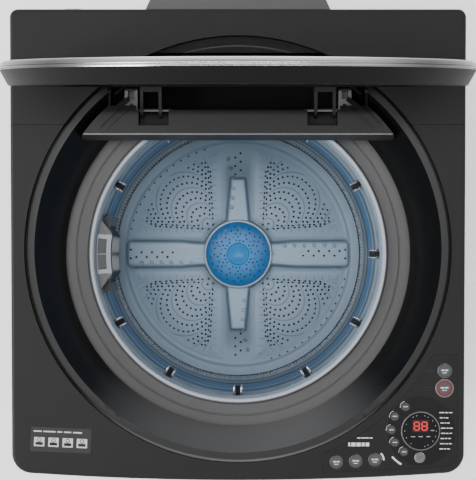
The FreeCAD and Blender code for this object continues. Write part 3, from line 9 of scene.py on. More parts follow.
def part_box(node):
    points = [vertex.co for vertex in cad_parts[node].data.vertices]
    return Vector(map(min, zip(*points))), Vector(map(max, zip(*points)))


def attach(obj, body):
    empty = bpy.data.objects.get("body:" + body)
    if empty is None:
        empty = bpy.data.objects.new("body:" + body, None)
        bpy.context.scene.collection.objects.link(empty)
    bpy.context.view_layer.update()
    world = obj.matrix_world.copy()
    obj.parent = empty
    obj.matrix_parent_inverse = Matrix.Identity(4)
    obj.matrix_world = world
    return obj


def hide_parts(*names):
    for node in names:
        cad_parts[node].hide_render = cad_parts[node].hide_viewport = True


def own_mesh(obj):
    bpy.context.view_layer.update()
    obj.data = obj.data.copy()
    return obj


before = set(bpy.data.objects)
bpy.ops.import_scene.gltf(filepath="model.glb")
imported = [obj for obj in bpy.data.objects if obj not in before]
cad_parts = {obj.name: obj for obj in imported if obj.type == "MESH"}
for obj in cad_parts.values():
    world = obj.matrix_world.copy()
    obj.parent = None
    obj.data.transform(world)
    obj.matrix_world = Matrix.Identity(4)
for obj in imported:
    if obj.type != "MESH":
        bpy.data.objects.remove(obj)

bl_info = {
    "name": "Top Load Washing Machine",
    "version": (1, 0, 0),
    "blender": (4, 5, 0),
    "location": "View3D > Sidebar > Washer",
    "description": "Finishes, fittings and stage of a top load washing machine",
    "category": "Object",
}

MM = 0.001
TURN = 2 * math.pi


# ---------------------------------------------------------------- places read from the frame
def low(node):
    """Lowest corner of a node."""
    return Vector(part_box(node)[0])


def high(node):
    """Highest corner of a node."""
    return Vector(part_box(node)[1])


def middle(node):
    """Centre of a node's box."""
    return (low(node) + high(node)) / 2


DECK_Z = high("top_deck_rear").z
AXIS = Vector((0.0, middle("pulsator_cap").y, 0.0))
DIAL = middle("display_window")
LEDGE_Z = low("lid_bumpers").z
RECESS_Y = AXIS.y + 0.006
HUB_FOOT = low("pulsator").z
PULSATOR_R = (high("pulsator").x - low("pulsator").x) / 2


# ---------------------------------------------------------------- sizes and colours
class PulsatorSettings(bpy.types.PropertyGroup):
    """Sizes and colours of the pulsator and its cap."""
    plate_rise: bpy.props.FloatProperty(
        name="Plate rise", description="Plate's upper face above the hub's foot",
        default=0.018, unit="LENGTH")
    arm_height: bpy.props.FloatProperty(
        name="Arm height", description="Height of the long arms above the plate",
        default=0.012, unit="LENGTH")
    hole_radius: bpy.props.FloatProperty(
        name="Hole radius", description="Radius of the water holes", default=0.0017, unit="LENGTH")
    plate_colour: bpy.props.FloatVectorProperty(
        name="Plate colour", description="Low parts of the pulsator", subtype="COLOR",
        size=4, default=(0.240, 0.328, 0.415, 1.0))
    # painted highlight: the raised parts are the same plastic as the plate, drawn in this paler colour as lit
    # tops
    arm_highlight_colour: bpy.props.FloatVectorProperty(
        name="Arm highlight colour", description="Raised parts of the pulsator", subtype="COLOR",
        size=4, default=(0.300, 0.400, 0.500, 1.0))
    cap_colour: bpy.props.FloatVectorProperty(
        name="Cap colour", description="Middle of the round cap", subtype="COLOR",
        size=4, default=(0.035, 0.235, 0.560, 1.0))
    # painted shade: the cap's rim is drawn in this darker colour, as the dome turns away from the light
    cap_edge_shade_colour: bpy.props.FloatVectorProperty(
        name="Cap edge shade colour", description="Rim of the round cap", subtype="COLOR",
        size=4, default=(0.010, 0.110, 0.300, 1.0))


class BodySettings(bpy.types.PropertyGroup):
    """Colours of the cabinet, deck and funnel."""
    deck_colour: bpy.props.FloatVectorProperty(
        name="Deck colour", description="Deck mouldings", subtype="COLOR",
        size=4, default=(0.0135, 0.0135, 0.0138, 1.0))
    shell_colour: bpy.props.FloatVectorProperty(
        name="Shell colour", description="Painted cabinet sheet", subtype="COLOR",
        size=4, default=(0.024, 0.024, 0.026, 1.0))
    funnel_colour: bpy.props.FloatVectorProperty(
        name="Funnel colour", description="Glossy recess moulding", subtype="COLOR",
        size=4, default=(0.0035, 0.0035, 0.0036, 1.0))
    shelf_colour: bpy.props.FloatVectorProperty(
        name="Shelf colour", description="Hinge shelf", subtype="COLOR",
        size=4, default=(0.024, 0.024, 0.0245, 1.0))
    grain_scale: bpy.props.FloatProperty(
        name="Grain scale", description="Grains to the metre of moulded plastic", default=900.0)


class TubSettings(bpy.types.PropertyGroup):
    """Sizes and colours round the basket's mouth."""
    cover_colour: bpy.props.FloatVectorProperty(
        name="Cover colour", description="Ring on top of the tub", subtype="COLOR",
        size=4, default=(0.066, 0.066, 0.068, 1.0))
    # painted highlight: the lip is the cover's own plastic, drawn in this paler colour where its rounded edge
    # catches light
    lip_highlight_colour: bpy.props.FloatVectorProperty(
        name="Lip highlight colour", description="Raised lip of the tub cover", subtype="COLOR",
        size=4, default=(0.330, 0.355, 0.400, 1.0))
    steel_colour: bpy.props.FloatVectorProperty(
        name="Steel colour", description="Basket wall", subtype="COLOR",
        size=4, default=(0.520, 0.530, 0.545, 1.0))
    # painted reflection: the blue plastic round the basket reflected in the steel, drawn as bluish stripes
    blue_reflection_colour: bpy.props.FloatVectorProperty(
        name="Blue reflection colour", description="Bluish stretches of the basket wall", subtype="COLOR",
        size=4, default=(0.180, 0.275, 0.365, 1.0))
    # painted shade: dark stripes drawn on the beads of the wall
    shadow_colour: bpy.props.FloatVectorProperty(
        name="Shadow colour", description="Dark beads of the basket wall", subtype="COLOR",
        size=4, default=(0.040, 0.060, 0.085, 1.0))
    # painted reflection: a blue line on the wall, drawn as the blue plastic reflected in the steel
    reflected_line_colour: bpy.props.FloatVectorProperty(
        name="Reflected line colour", description="Blue bead of the basket wall", subtype="COLOR",
        size=4, default=(0.030, 0.210, 0.500, 1.0))
    hook_count: bpy.props.IntProperty(
        name="Hook places", description="Places for hooks round the balance ring", default=12, min=4)
    bead_height: bpy.props.FloatProperty(
        name="Bead height", description="Rolled beads on the basket wall", default=0.0014, unit="LENGTH")


class ControlSettings(bpy.types.PropertyGroup):
    """Sizes and colours of the control panel's prints and lights."""
    dial_radius: bpy.props.FloatProperty(
        name="Dial radius", description="Darker disc round the display", default=0.0426, unit="LENGTH")
    print_lift: bpy.props.FloatProperty(
        name="Print lift", description="Thickness of a printed mark", default=0.00012, unit="LENGTH")
    print_colour: bpy.props.FloatVectorProperty(
        name="Print colour", description="Printed marks", subtype="COLOR",
        size=4, default=(0.55, 0.55, 0.56, 1.0))
    digit_colour: bpy.props.FloatVectorProperty(
        name="Digit colour", description="Lit digits", subtype="COLOR",
        size=4, default=(0.55, 0.03, 0.035, 1.0))


class StageSettings(bpy.types.PropertyGroup):
    """Floor, lights and camera."""
    camera_height: bpy.props.FloatProperty(
        name="Camera height", description="Camera above the deck", default=2.15, unit="LENGTH")
    lens: bpy.props.FloatProperty(
        name="Lens", description="Focal length", default=130.5)
    floor_size: bpy.props.FloatProperty(
        name="Floor size", description="Side of the pale floor", default=12.0, unit="LENGTH")
    floor_colour: bpy.props.FloatVectorProperty(
        name="Floor colour", description="Pale floor", subtype="COLOR",
        size=4, default=(0.94, 0.94, 0.94, 1.0))
    floor_glow: bpy.props.FloatProperty(
        name="Floor glow", description="Light the backdrop adds to itself", default=0.62)


SETTINGS = {"washer_pulsator": PulsatorSettings, "washer_body": BodySettings, "washer_tub": TubSettings,
            "washer_controls": ControlSettings, "washer_stage": StageSettings}


# ---------------------------------------------------------------- shader helpers
def add(tree, kind, **values):
    """New node with its plain properties set."""
    node = tree.nodes.new(kind)
    for key, value in values.items():
        setattr(node, key, value)
    return node


def wire(tree, source, target):
    """Link an output to an input; a number or colour is set on the input instead."""
    if isinstance(source, bpy.types.NodeSocket):
        tree.links.new(source, target)
    else:
        target.default_value = source


def maths(tree, operation, *values):
    """Math node's output."""
    node = add(tree, "ShaderNodeMath", operation=operation)
    for socket, value in zip(node.inputs, values):
        wire(tree, value, socket)
    return node.outputs[0]


def times(tree, first, *others):
    """Product of two or more values."""
    for other in others:
        first = maths(tree, "MULTIPLY", first, other)
    return first


def minus(tree, a, b):
    """Difference of two values."""
    return maths(tree, "SUBTRACT", a, b)


def ramp(tree, value, start, end, out_start=0.0, out_end=1.0):
    """Value carried from one range to another by a smooth step."""
    node = add(tree, "ShaderNodeMapRange", interpolation_type="SMOOTHSTEP")
    for name, source in (("Value", value), ("From Min", start), ("From Max", end),
                         ("To Min", out_start), ("To Max", out_end)):
        wire(tree, source, node.inputs[name])
    return node.outputs["Result"]


def blend_colour(tree, factor, first, second, mode="MIX"):
    """Mix of two colours."""
    node = add(tree, "ShaderNodeMix", data_type="RGBA", blend_type=mode)
    wire(tree, factor, node.inputs["Factor"])
    wire(tree, first, node.inputs["A"])
    wire(tree, second, node.inputs["B"])
    return node.outputs["Result"]


def darken(tree, colour, value):
    """Colour multiplied by a number that changes over the surface."""
    grey = add(tree, "ShaderNodeCombineColor")
    for socket in grey.inputs:
        wire(tree, value, socket)
    return blend_colour(tree, 1.0, colour, grey.outputs["Color"], "MULTIPLY")


def noise(tree, place, scale, detail):
    """Noise texture's value."""
    node = add(tree, "ShaderNodeTexNoise")
    for name, source in (("Vector", place), ("Scale", scale), ("Detail", detail)):
        wire(tree, source, node.inputs[name])
    return node.outputs["Fac"]


def relief(tree, height, strength, distance, normal=None, invert=False):
    """Bump node's normal, laid over another one."""
    bump = add(tree, "ShaderNodeBump", invert=invert)
    bump.inputs["Distance"].default_value = distance
    wire(tree, strength, bump.inputs["Strength"])
    wire(tree, height, bump.inputs["Height"])
    if normal is not None:
        wire(tree, normal, bump.inputs["Normal"])
    return bump.outputs["Normal"]


def object_place(tree):
    """Object coordinates."""
    return add(tree, "ShaderNodeTexCoord").outputs["Object"]


def new_group(name, inputs, outputs):
    """Empty shader group with named sockets; returns the group and its two end nodes."""
    group = bpy.data.node_groups.new(name, "ShaderNodeTree")
    for label, kind, default in inputs:
        socket = group.interface.new_socket(label, in_out="INPUT", socket_type=kind)
        socket.default_value = default
    for label, kind in outputs:
        group.interface.new_socket(label, in_out="OUTPUT", socket_type=kind)
    return group, add(group, "NodeGroupInput"), add(group, "NodeGroupOutput")


def send_finish(group, start, end, cloud, contrast, height, depth, distance):
    """Fill a group's outputs: tint and gloss follow one noise, relief follows another."""
    centred = minus(group, cloud, 0.5)
    tint = darken(group, start.outputs["Colour"], maths(group, "MULTIPLY_ADD", centred, contrast, 1.0))
    gloss = maths(group, "MULTIPLY_ADD", centred, start.outputs["Gloss spread"], start.outputs["Gloss"])
    wire(group, tint, end.inputs["Colour"])
    wire(group, gloss, end.inputs["Roughness"])
    wire(group, relief(group, height, depth, distance), end.inputs["Normal"])


FLOAT, COLOUR, VECTOR = "NodeSocketFloat", "NodeSocketColor", "NodeSocketVector"
FINISH_OUTPUTS = [("Colour", COLOUR), ("Roughness", FLOAT), ("Normal", VECTOR)]


def mould_grain_group():
    """Moulded plastic: cloudy tint, uneven gloss and a fine leathery grain."""
    group, start, end = new_group(
        "Mould grain",
        [("Colour", COLOUR, (0.1, 0.1, 0.1, 1)), ("Cloud", FLOAT, 0.12), ("Gloss", FLOAT, 0.4),
         ("Gloss spread", FLOAT, 0.08), ("Grain scale", FLOAT, 900.0), ("Grain depth", FLOAT, 0.15)],
        FINISH_OUTPUTS)
    place = object_place(group)
    cloud = noise(group, place, 9.0, 5.0)
    grain = noise(group, place, start.outputs["Grain scale"], 2.0)
    send_finish(group, start, end, cloud, start.outputs["Cloud"], grain, start.outputs["Grain depth"], 0.0004)
    return group


def brushed_group():
    """Metal drawn in one direction: long fine scratches in gloss and relief."""
    group, start, end = new_group(
        "Brushed metal",
        [("Colour", COLOUR, (0.6, 0.6, 0.6, 1)), ("Stretch", VECTOR, (4.0, 4.0, 900.0)),
         ("Gloss", FLOAT, 0.25), ("Gloss spread", FLOAT, 0.2), ("Scratch depth", FLOAT, 0.1)],
        FINISH_OUTPUTS)
    stretched = add(group, "ShaderNodeVectorMath", operation="MULTIPLY")
    wire(group, object_place(group), stretched.inputs[0])
    wire(group, start.outputs["Stretch"], stretched.inputs[1])
    streak = noise(group, stretched.outputs[0], 1.0, 4.0)
    send_finish(group, start, end, streak, 0.35, streak, start.outputs["Scratch depth"], 0.0002)
    return group


def radius_group():
    """Distance and turn of a point about an upright axis."""
    group, start, end = new_group(
        "Round the axis", [("Axis", VECTOR, (0, 0, 0))],
        [("Radius", FLOAT), ("Angle", FLOAT), ("Height", FLOAT), ("Across", FLOAT), ("Along", FLOAT)])
    offset = add(group, "ShaderNodeVectorMath", operation="SUBTRACT")
    wire(group, object_place(group), offset.inputs[0])
    wire(group, start.outputs["Axis"], offset.inputs[1])
    parts = add(group, "ShaderNodeSeparateXYZ")
    wire(group, offset.outputs[0], parts.inputs[0])
    x, y, z = parts.outputs
    square = maths(group, "ADD", times(group, x, x), times(group, y, y))
    for name, source in (("Radius", maths(group, "SQRT", square)), ("Angle", maths(group, "ARCTAN2", y, x)),
                         ("Height", z), ("Across", maths(group, "ABSOLUTE", x)),
                         ("Along", maths(group, "ABSOLUTE", y))):
        wire(group, source, end.inputs[name])
    return group


GROUP_MAKERS = {"Mould grain": mould_grain_group, "Brushed metal": brushed_group,
                "Round the axis": radius_group}


def shared(tree, name, **values):
    """Place a shared group in a material with its own values."""
    group = bpy.data.node_groups.get(name) or GROUP_MAKERS[name]()
    node = add(tree, "ShaderNodeGroup")
    node.node_tree = group
    for key, value in values.items():
        wire(tree, value, node.inputs[key.replace("_", " ")])
    return node


def new_material(name, **sockets):
    """Material with a Principled shader whose plain values are set; returns material, tree, shader."""
    material = bpy.data.materials.new(name)
    material.use_nodes = True
    tree = material.node_tree
    shader = tree.nodes["Principled BSDF"]
    for key, value in sockets.items():
        shader.inputs[key.replace("_", " ")].default_value = value
    return material, tree, shader


def join_effect(tree, effect, shader, colour=None, normal=None):
    """Feed a shared effect's colour, gloss and relief to the shader; a colour or normal may stand in."""
    wire(tree, colour or effect.outputs["Colour"], shader.inputs["Base Color"])
    wire(tree, effect.outputs["Roughness"], shader.inputs["Roughness"])
    wire(tree, normal or effect.outputs["Normal"], shader.inputs["Normal"])


def plastic(name, colour, gloss=0.4, cloud=0.12, grain=900.0, depth=0.15, spread=0.08, **sockets):
    """Moulded plastic, rubber or paint."""
    material, tree, shader = new_material(name, **sockets)
    effect = shared(tree, "Mould grain", Colour=colour, Cloud=cloud, Gloss=gloss, Gloss_spread=spread,
                    Grain_scale=grain, Grain_depth=depth)
    join_effect(tree, effect, shader)
    return material


def metal(name, colour, gloss=0.25, spread=0.2, stretch=(4.0, 4.0, 900.0), depth=0.1, **sockets):
    """Drawn or turned metal."""
    material, tree, shader = new_material(name, Metallic=1.0, **sockets)
    effect = shared(tree, "Brushed metal", Colour=colour, Stretch=stretch, Gloss=gloss, Gloss_spread=spread,
                    Scratch_depth=depth)
    join_effect(tree, effect, shader)
    return material


# ---------------------------------------------------------------- mesh helpers
def spun_ring(outline, centre, steps):
    """Closed ring from an (r, z) outline turned about an upright axis."""
    bm = bmesh.new()
    verts = [bm.verts.new((r, 0.0, z)) for r, z in outline]
    edges = [bm.edges.new(pair) for pair in zip(verts, verts[1:] + verts[:1])]
    bmesh.ops.spin(bm, geom=verts + edges, cent=(0, 0, 0), axis=(0, 0, 1), angle=TURN, steps=steps,
                   use_merge=True)
    bmesh.ops.remove_doubles(bm, verts=bm.verts, dist=1e-6)
    bmesh.ops.recalc_face_normals(bm, faces=bm.faces)
    bmesh.ops.translate(bm, verts=bm.verts, vec=centre)
    return bm


def at_angle(angle, radius, z=0.0):
    """Point beside the tub's axis."""
    return AXIS + Vector((math.cos(angle) * radius, math.sin(angle) * radius, z))


def add_block(bm, centre, size, turn=0.0, bevel=0.0, segments=2):
    """Bevelled block, turned about an upright line through its centre."""
    made = bmesh.ops.create_cube(bm, size=1.0)
    verts = made["verts"]
    bmesh.ops.scale(bm, vec=size, verts=verts)
    if bevel:
        edges = list({edge for vert in verts for edge in vert.link_edges})
        made = bmesh.ops.bevel(bm, geom=edges, offset=bevel, offset_type="OFFSET", affect="EDGES",
                               segments=segments, profile=0.5, material=-1)
        verts = list({vert for face in made["faces"] for vert in face.verts} |
                     {vert for vert in verts if vert.is_valid})
    bmesh.ops.rotate(bm, cent=(0, 0, 0), matrix=Matrix.Rotation(turn, 3, "Z"), verts=verts)
    bmesh.ops.translate(bm, vec=centre, verts=verts)
    return verts


def add_disc(bm, centre, radius, segments=10):
    """Flat round face looking up."""
    bmesh.ops.create_circle(bm, cap_ends=True, segments=segments, radius=radius,
                            matrix=Matrix.Translation(centre))


def add_dome(bm, centre, radius, rise, segments=16):
    """Low round dome."""
    made = bmesh.ops.create_uvsphere(bm, u_segments=segments, v_segments=10, radius=radius)
    verts = made["verts"]
    bmesh.ops.scale(bm, vec=(1, 1, rise / radius), verts=verts)
    bmesh.ops.translate(bm, vec=centre, verts=verts)


def add_hoop(bm, centre, radius, width, height, segments=32):
    """Flat-topped thin hoop."""
    half = width / 2
    ring = spun_ring([(radius - half, 0), (radius + half, 0), (radius + half, height),
                      (radius - half, height)], centre, segments)
    join_mesh(bm, ring)


def join_mesh(bm, other):
    """Move another bmesh's contents into this one."""
    carrier = bpy.data.meshes.new("carrier")
    other.to_mesh(carrier)
    other.free()
    bm.from_mesh(carrier)
    bpy.data.meshes.remove(carrier)


def piece(name, bm, material, body, smooth_deg=35.0):
    """Turn a bmesh into a finished piece that rides on a body."""
    mesh = bpy.data.meshes.new(name)
    bm.to_mesh(mesh)
    bm.free()
    mesh.materials.append(material)
    for polygon in mesh.polygons:
        polygon.use_smooth = True
    mesh.set_sharp_from_angle(angle=math.radians(smooth_deg))
    made = bpy.data.objects.new(name, mesh)
    bpy.context.scene.collection.objects.link(made)
    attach(made, body)
    return made


def dress(material, *nodes):
    """Give carried-over nodes a finish."""
    for node in nodes:
        target = bpy.data.objects[node]
        for slot in target.material_slots:
            slot.material = material
        if not target.material_slots:
            target.data.materials.append(material)


def step(start, end, value):
    """Smooth step from 0 to 1; start may be above end."""
    t = min(max((value - start) / (end - start), 0.0), 1.0)
    return t * t * (3 - 2 * t)


def box_distance(x, y, half_x, half_y, radius):
    """Signed distance to a rounded rectangle about the origin."""
    qx, qy = abs(x) - half_x + radius, abs(y) - half_y + radius
    return math.hypot(max(qx, 0), max(qy, 0)) + min(max(qx, qy), 0) - radius


# ---------------------------------------------------------------- pulsator
# sizes here are in millimetres from the axis, or above the plate
BORE, HUB_R, PLATE_T = 8.2, 22.0, 6.0
RIM_IN, RIM_H = 169.0, 5.0
HUB_H, HUB_OUT, HUB_IN = 26.0, 54.0, 47.5
SWIRL_EDGE, SWIRL_FIRST, SWIRL_STEP, SWIRL_ROW_GAP = 37.5, 4.8, 11.6, 4.7
SWIRL_START, SWIRL_SWEEP, SWIRL_SPACING, SWIRL_REACH = -68, 226, 7.6, 152
RIM_HOLES_R, RIM_HOLES_STEP = 165.5, 4.53
SHORT_ARM_DOMES = ((-8.9, 70.5), (-7.7, 84.2), (-6.8, 98.6), (-7.7, 115.0), (-11.3, 129.4), (-14.6, 144.0))


def pulsator_height(x, y, arm):
    """Height in millimetres above the plate at a place in millimetres from the axis."""
    r = math.hypot(x, y)
    inside = min(abs(x) - 24, abs(y) - 24, 160 - r)
    pillow = 3.6 * step(0, 30, inside) + 0.9 * step(-1, 1.5, inside)
    rim = RIM_H * step(RIM_IN - 3, RIM_IN + 2, r)
    long_arm = arm * step(2.5, -4.0, box_distance(abs(x) - 106, y, 61, 19.5 - 2.5 * step(90, 55, abs(x)), 6))
    long_arm += 0.5 * step(112, 108, abs(x)) * step(0, -6, abs(y) - 15) * step(0.55, 0.95, math.cos(y * 1.26))
    channel = -2.2 * step(1.5, -2.5, box_distance(x, abs(y) - 103, 22, 55, 5))
    half = 17.5 - 6.5 * min(max((abs(y) - 50) / 65, 0), 1)
    wedge = (arm - 1.5) * step(2.5, -4.0, max(abs(x) - half, abs(y) - 114))
    hub = HUB_H * step(HUB_OUT, HUB_IN, r)
    return max(pillow if abs(x) > 22 and abs(y) > 22 else channel, rim, long_arm, wedge, hub)


def swirl_places():
    """Water holes of one quadrant, in millimetres: rows on circles that touch both edges of the quadrant."""
    places = []
    for ring in range(6):
        for r in (SWIRL_FIRST + SWIRL_STEP * ring - SWIRL_ROW_GAP, SWIRL_FIRST + SWIRL_STEP * ring):
            if r < SWIRL_FIRST:
                continue
            count = max(round(r * math.radians(SWIRL_SWEEP) / SWIRL_SPACING), 2)
            for i in range(count + 1):
                angle = math.radians(SWIRL_START + SWIRL_SWEEP * i / count)
                x, y = SWIRL_EDGE + r + r * math.cos(angle), SWIRL_EDGE + r + r * math.sin(angle)
                if math.hypot(x, y) < SWIRL_REACH:
                    places.append((x, y))
    return places


def pulsator_hole_places():
    """All water holes of the plate, in millimetres from the axis."""
    places = [(sx * x, sy * y) for x, y in swirl_places() for sx in (-1, 1) for sy in (-1, 1)]
    for start in (107.8, 287.8):
        for i in range(14):
            angle = math.radians(start + RIM_HOLES_STEP * i)
            places.append((RIM_HOLES_R * math.cos(angle), RIM_HOLES_R * math.sin(angle)))
    for side in (-1, 1):
        for i in range(8):
            places.append((side * (98 + 7.8 * i), side * (4.5 if i % 2 else -2.5)))
        for i in range(6):
            places.append((side * (4.0 if i % 2 else -4.0), side * (120 + 6.4 * i)))
        places += [(side * 161, 6.5), (side * 161, -6.5)]
    return places


def swirl_lines(tree, across, along):
    """Mask of the lines engraved between the rows of holes, on circles of the same family."""
    u, v = (maths(tree, "MAXIMUM", minus(tree, value, SWIRL_EDGE * MM), 0.0) for value in (across, along))
    root = maths(tree, "SQRT", times(tree, u, v, 2.0))
    circle = minus(tree, maths(tree, "ADD", u, v), root)
    first = (SWIRL_FIRST + (SWIRL_STEP - SWIRL_ROW_GAP) / 2) * MM
    wave = maths(tree, "PINGPONG", minus(tree, circle, first), SWIRL_STEP * MM / 2)
    return ramp(tree, wave, 0.0, 0.0007, 1.0, 0.0)


def pulsator_material(settings, plate_z):
    """Satin plastic with engraved curves in the quadrants. The raised arms are drawn paler as a painted
    highlight; painted shade darkens the plate towards its rim, along the sides of the arms, round the hub's
    foot and in the engraved curves.
    """
    material, tree, shader = new_material("Pulsator plastic", Coat_Weight=0.15, Coat_Roughness=0.25)
    radius, _, height, across, along = shared(tree, "Round the axis", Axis=(AXIS.x, AXIS.y, plate_z)).outputs
    # painted highlight: raised parts drawn paler than the low plate, as tops that catch more light
    lift = ramp(tree, height, 0.003, settings.arm_height)
    tint = blend_colour(tree, lift, tuple(settings.plate_colour), tuple(settings.arm_highlight_colour))
    # painted shade: the plate is drawn darker towards its rim beside the basket wall, a little lighter near
    # the hub
    tint = darken(tree, tint, ramp(tree, radius, 0.175, 0.06, 0.80, 1.06))

    groove = times(tree, swirl_lines(tree, across, along), ramp(tree, lift, 0.0, 0.3, 1.0, 0.0),
                   ramp(tree, across, 0.030, 0.034), ramp(tree, along, 0.030, 0.034),
                   ramp(tree, radius, 0.158, 0.154))
    # painted shade: a dark blue-grey drawn along the sides of the long and short arms and round the hub's
    # foot, less on raised parts
    beside_long = times(tree, ramp(tree, along, 0.029, 0.018), ramp(tree, radius, 0.172, 0.155))
    beside_short = times(tree, ramp(tree, across, 0.029, 0.014), ramp(tree, radius, 0.158, 0.120))
    beside_hub = ramp(tree, radius, 0.066, 0.050)
    shade = maths(tree, "MAXIMUM", maths(tree, "MAXIMUM", beside_long, beside_short), beside_hub)
    shade = times(tree, shade, ramp(tree, lift, 0.0, 0.85, 0.62, 0.0))
    tint = blend_colour(tree, shade, tint, (0.050, 0.075, 0.105, 1.0))
    effect = shared(tree, "Mould grain", Colour=tint, Cloud=0.10, Gloss=0.36, Gloss_spread=0.10,
                    Grain_scale=1200.0, Grain_depth=0.08)
    # painted shade: the engraved curves are drawn darker on top of their real relief
    colour = blend_colour(tree, times(tree, groove, 0.5), effect.outputs["Colour"], (0.06, 0.09, 0.13, 1.0))
    join_effect(tree, effect, shader, colour,
                relief(tree, groove, 0.8, 0.0008, effect.outputs["Normal"], invert=True))
    return material


class WASHER_OT_pulsator(bpy.types.Operator):
    """Build the pulsator plate with its arms, domes and water holes"""
    bl_idname = "washer.pulsator"
    bl_label = "Pulsator"

    def execute(self, context):
        settings = context.scene.washer_pulsator
        plate_z = HUB_FOOT + settings.plate_rise
        arm = settings.arm_height / MM
        radius = PULSATOR_R / MM
        rings = 116
        under = plate_z - PLATE_T * MM
        top = [((BORE + (radius - BORE) * i / rings) * MM, plate_z) for i in range(rings + 1)]
        foot = [(PULSATOR_R, under), (HUB_R * MM, under), (HUB_R * MM, HUB_FOOT), (BORE * MM, HUB_FOOT)]
        bm = spun_ring(top + foot, AXIS, 384)
        for vert in bm.verts:
            if vert.co.z > plate_z - 1e-5:
                x, y = (vert.co.x - AXIS.x) / MM, (vert.co.y - AXIS.y) / MM
                vert.co.z += pulsator_height(x, y, arm) * MM
        plastic_look = pulsator_material(settings, plate_z)
        plate = piece("pulsator_plate", bm, plastic_look, "pulsator", 60)
        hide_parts("pulsator")

        bm = bmesh.new()
        for x, y in pulsator_hole_places():
            z = plate_z + (pulsator_height(x, y, arm) + 0.14) * MM
            add_disc(bm, (AXIS.x + x * MM, AXIS.y + y * MM, z), settings.hole_radius)
        dark = plastic("Hole shadow", (0.006, 0.007, 0.009, 1), gloss=0.7)
        piece("pulsator_holes", bm, dark, "pulsator")

        bm = bmesh.new()
        for side in (-1, 1):
            for i, (short_x, short_y) in enumerate(SHORT_ARM_DOMES):
                long_place = (side * (70 + 14.9 * i), side * 12.8)
                for px, py in (long_place, (side * short_x, side * short_y)):
                    z = plate_z + (pulsator_height(px, py, arm) - 0.3) * MM
                    add_dome(bm, (AXIS.x + px * MM, AXIS.y + py * MM, z), 3.3 * MM, 4.6 * MM)
        piece("pulsator_domes", bm, plastic_look, "pulsator")
        return {"FINISHED"}


CAP_RING_W = 0.0030


class WASHER_OT_cap(bpy.types.Operator):
    """Build the round cap with its bright ring, rings and holes"""
    bl_idname = "washer.cap"
    bl_label = "Pulsator cap"

    def execute(self, context):
        settings = context.scene.washer_pulsator
        foot, top = low("pulsator_cap").z, high("pulsator_cap").z
        radius = (high("pulsator_cap").x - low("pulsator_cap").x) / 2
        inner = radius - CAP_RING_W

        def cap_z(r):
            return top - 0.0022 - 0.0032 * (r / inner) ** 4

        outline = [(0.0002, top - 0.0016), (0.0125, top - 0.0016), (0.0138, top - 0.0004),
                   (0.0150, top - 0.0004), (0.0160, top - 0.0020)]
        for i in range(12):
            r = 0.0175 + (inner - 0.0175) * i / 11
            outline.append((r, cap_z(r)))
        outline += [(inner, foot + 0.001), (0.0002, foot + 0.001)]
        bm = spun_ring(outline, AXIS, 160)
        material, tree, shader = new_material("Cap plastic", Coat_Weight=0.12, Coat_Roughness=0.3)
        around = shared(tree, "Round the axis", Axis=tuple(AXIS))
        # painted light: the dome is drawn lighter at its lit middle and darker towards its rim, as shade on
        # the dome
        painted_light_fade = ramp(tree, around.outputs["Radius"], 0.012, inner)
        tint = blend_colour(tree, painted_light_fade, tuple(settings.cap_colour), tuple(settings.cap_edge_shade_colour))
        effect = shared(tree, "Mould grain", Colour=tint, Cloud=0.15, Gloss=0.28, Gloss_spread=0.1,
                        Grain_scale=1500.0, Grain_depth=0.05)
        join_effect(tree, effect, shader)
        cap = piece("pulsator_cap_dome", bm, material, "pulsator", 50)
        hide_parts("pulsator_cap")

        bm = spun_ring([(inner, foot), (radius - 0.0006, foot), (radius, foot + 0.001),
                        (radius, top - 0.004),
                        (radius - 0.0007, top - 0.0031), (inner + 0.0004, top - 0.0031),
                        (inner, top - 0.0040)], AXIS, 160)
        look = metal("Cap ring", (0.62, 0.66, 0.72, 1), gloss=0.34)
        piece("cap_ring", bm, look, "pulsator", 40)

        holes = bmesh.new()
        hoops = bmesh.new()
        for k in range(24):
            angle = TURN * k / 24
            spots = ((0.0205, 0.5), (0.0255, 0.0), (0.0305, 0.5), (0.0355, 0.08), (0.0405, 0.42))
            for r, shift in spots:
                if (k + int(r * 2000)) % 4 == 0:
                    continue
                a = angle + TURN / 24 * shift
                add_disc(holes, at_angle(a, r, cap_z(r) + 0.00012), 0.0012, 8)
        for k in range(12):
            for r, shift in ((0.0385, 0.0), (0.0285, 0.5)):
                a = TURN * (k + shift) / 12
                add_hoop(hoops, at_angle(a, r, cap_z(r) - 0.0003), 0.0028, 0.0007, 0.0006, 16)
        dark = bpy.data.materials["Hole shadow"]
        piece("cap_holes", holes, dark, "pulsator")
        piece("cap_rings", hoops, material, "pulsator")
        return {"FINISHED"}


# ---------------------------------------------------------------- basket and tub
def basket_outline(bead):
    """Wall of the basket from foot to mouth, as an (r, z) outline with rolled beads."""
    foot, mouth = low("basket").z, high("basket").z
    flare = (high("basket").x - low("basket").x) / 2
    ring_foot = low("balance_ring").z
    r_foot = (high("basket_base").x - low("basket_base").x) / 2
    r_top = r_foot + 0.0055
    knee = foot + 0.030
    inner = [(r_foot, foot), (r_foot, knee)]
    beads = 9
    steps = 10
    for i in range(beads * steps):
        t = (i + 1) / (beads * steps)
        z = knee + (ring_foot - 0.004 - knee) * t
        phase = (i % steps) / steps
        swell = bead * math.sin(math.pi * phase * 2) ** 2 if phase < 0.5 else 0.0
        inner.append((r_foot + (r_top - r_foot) * t - swell, z))
    inner += [(r_top, ring_foot), (flare - 0.001, ring_foot), (flare - 0.001, mouth)]
    outer = [(flare, mouth), (flare, ring_foot - 0.001), (r_top + 0.0022, ring_foot - 0.001),
             (r_foot + 0.0022, knee), (r_foot + 0.0022, foot)]
    return inner + outer


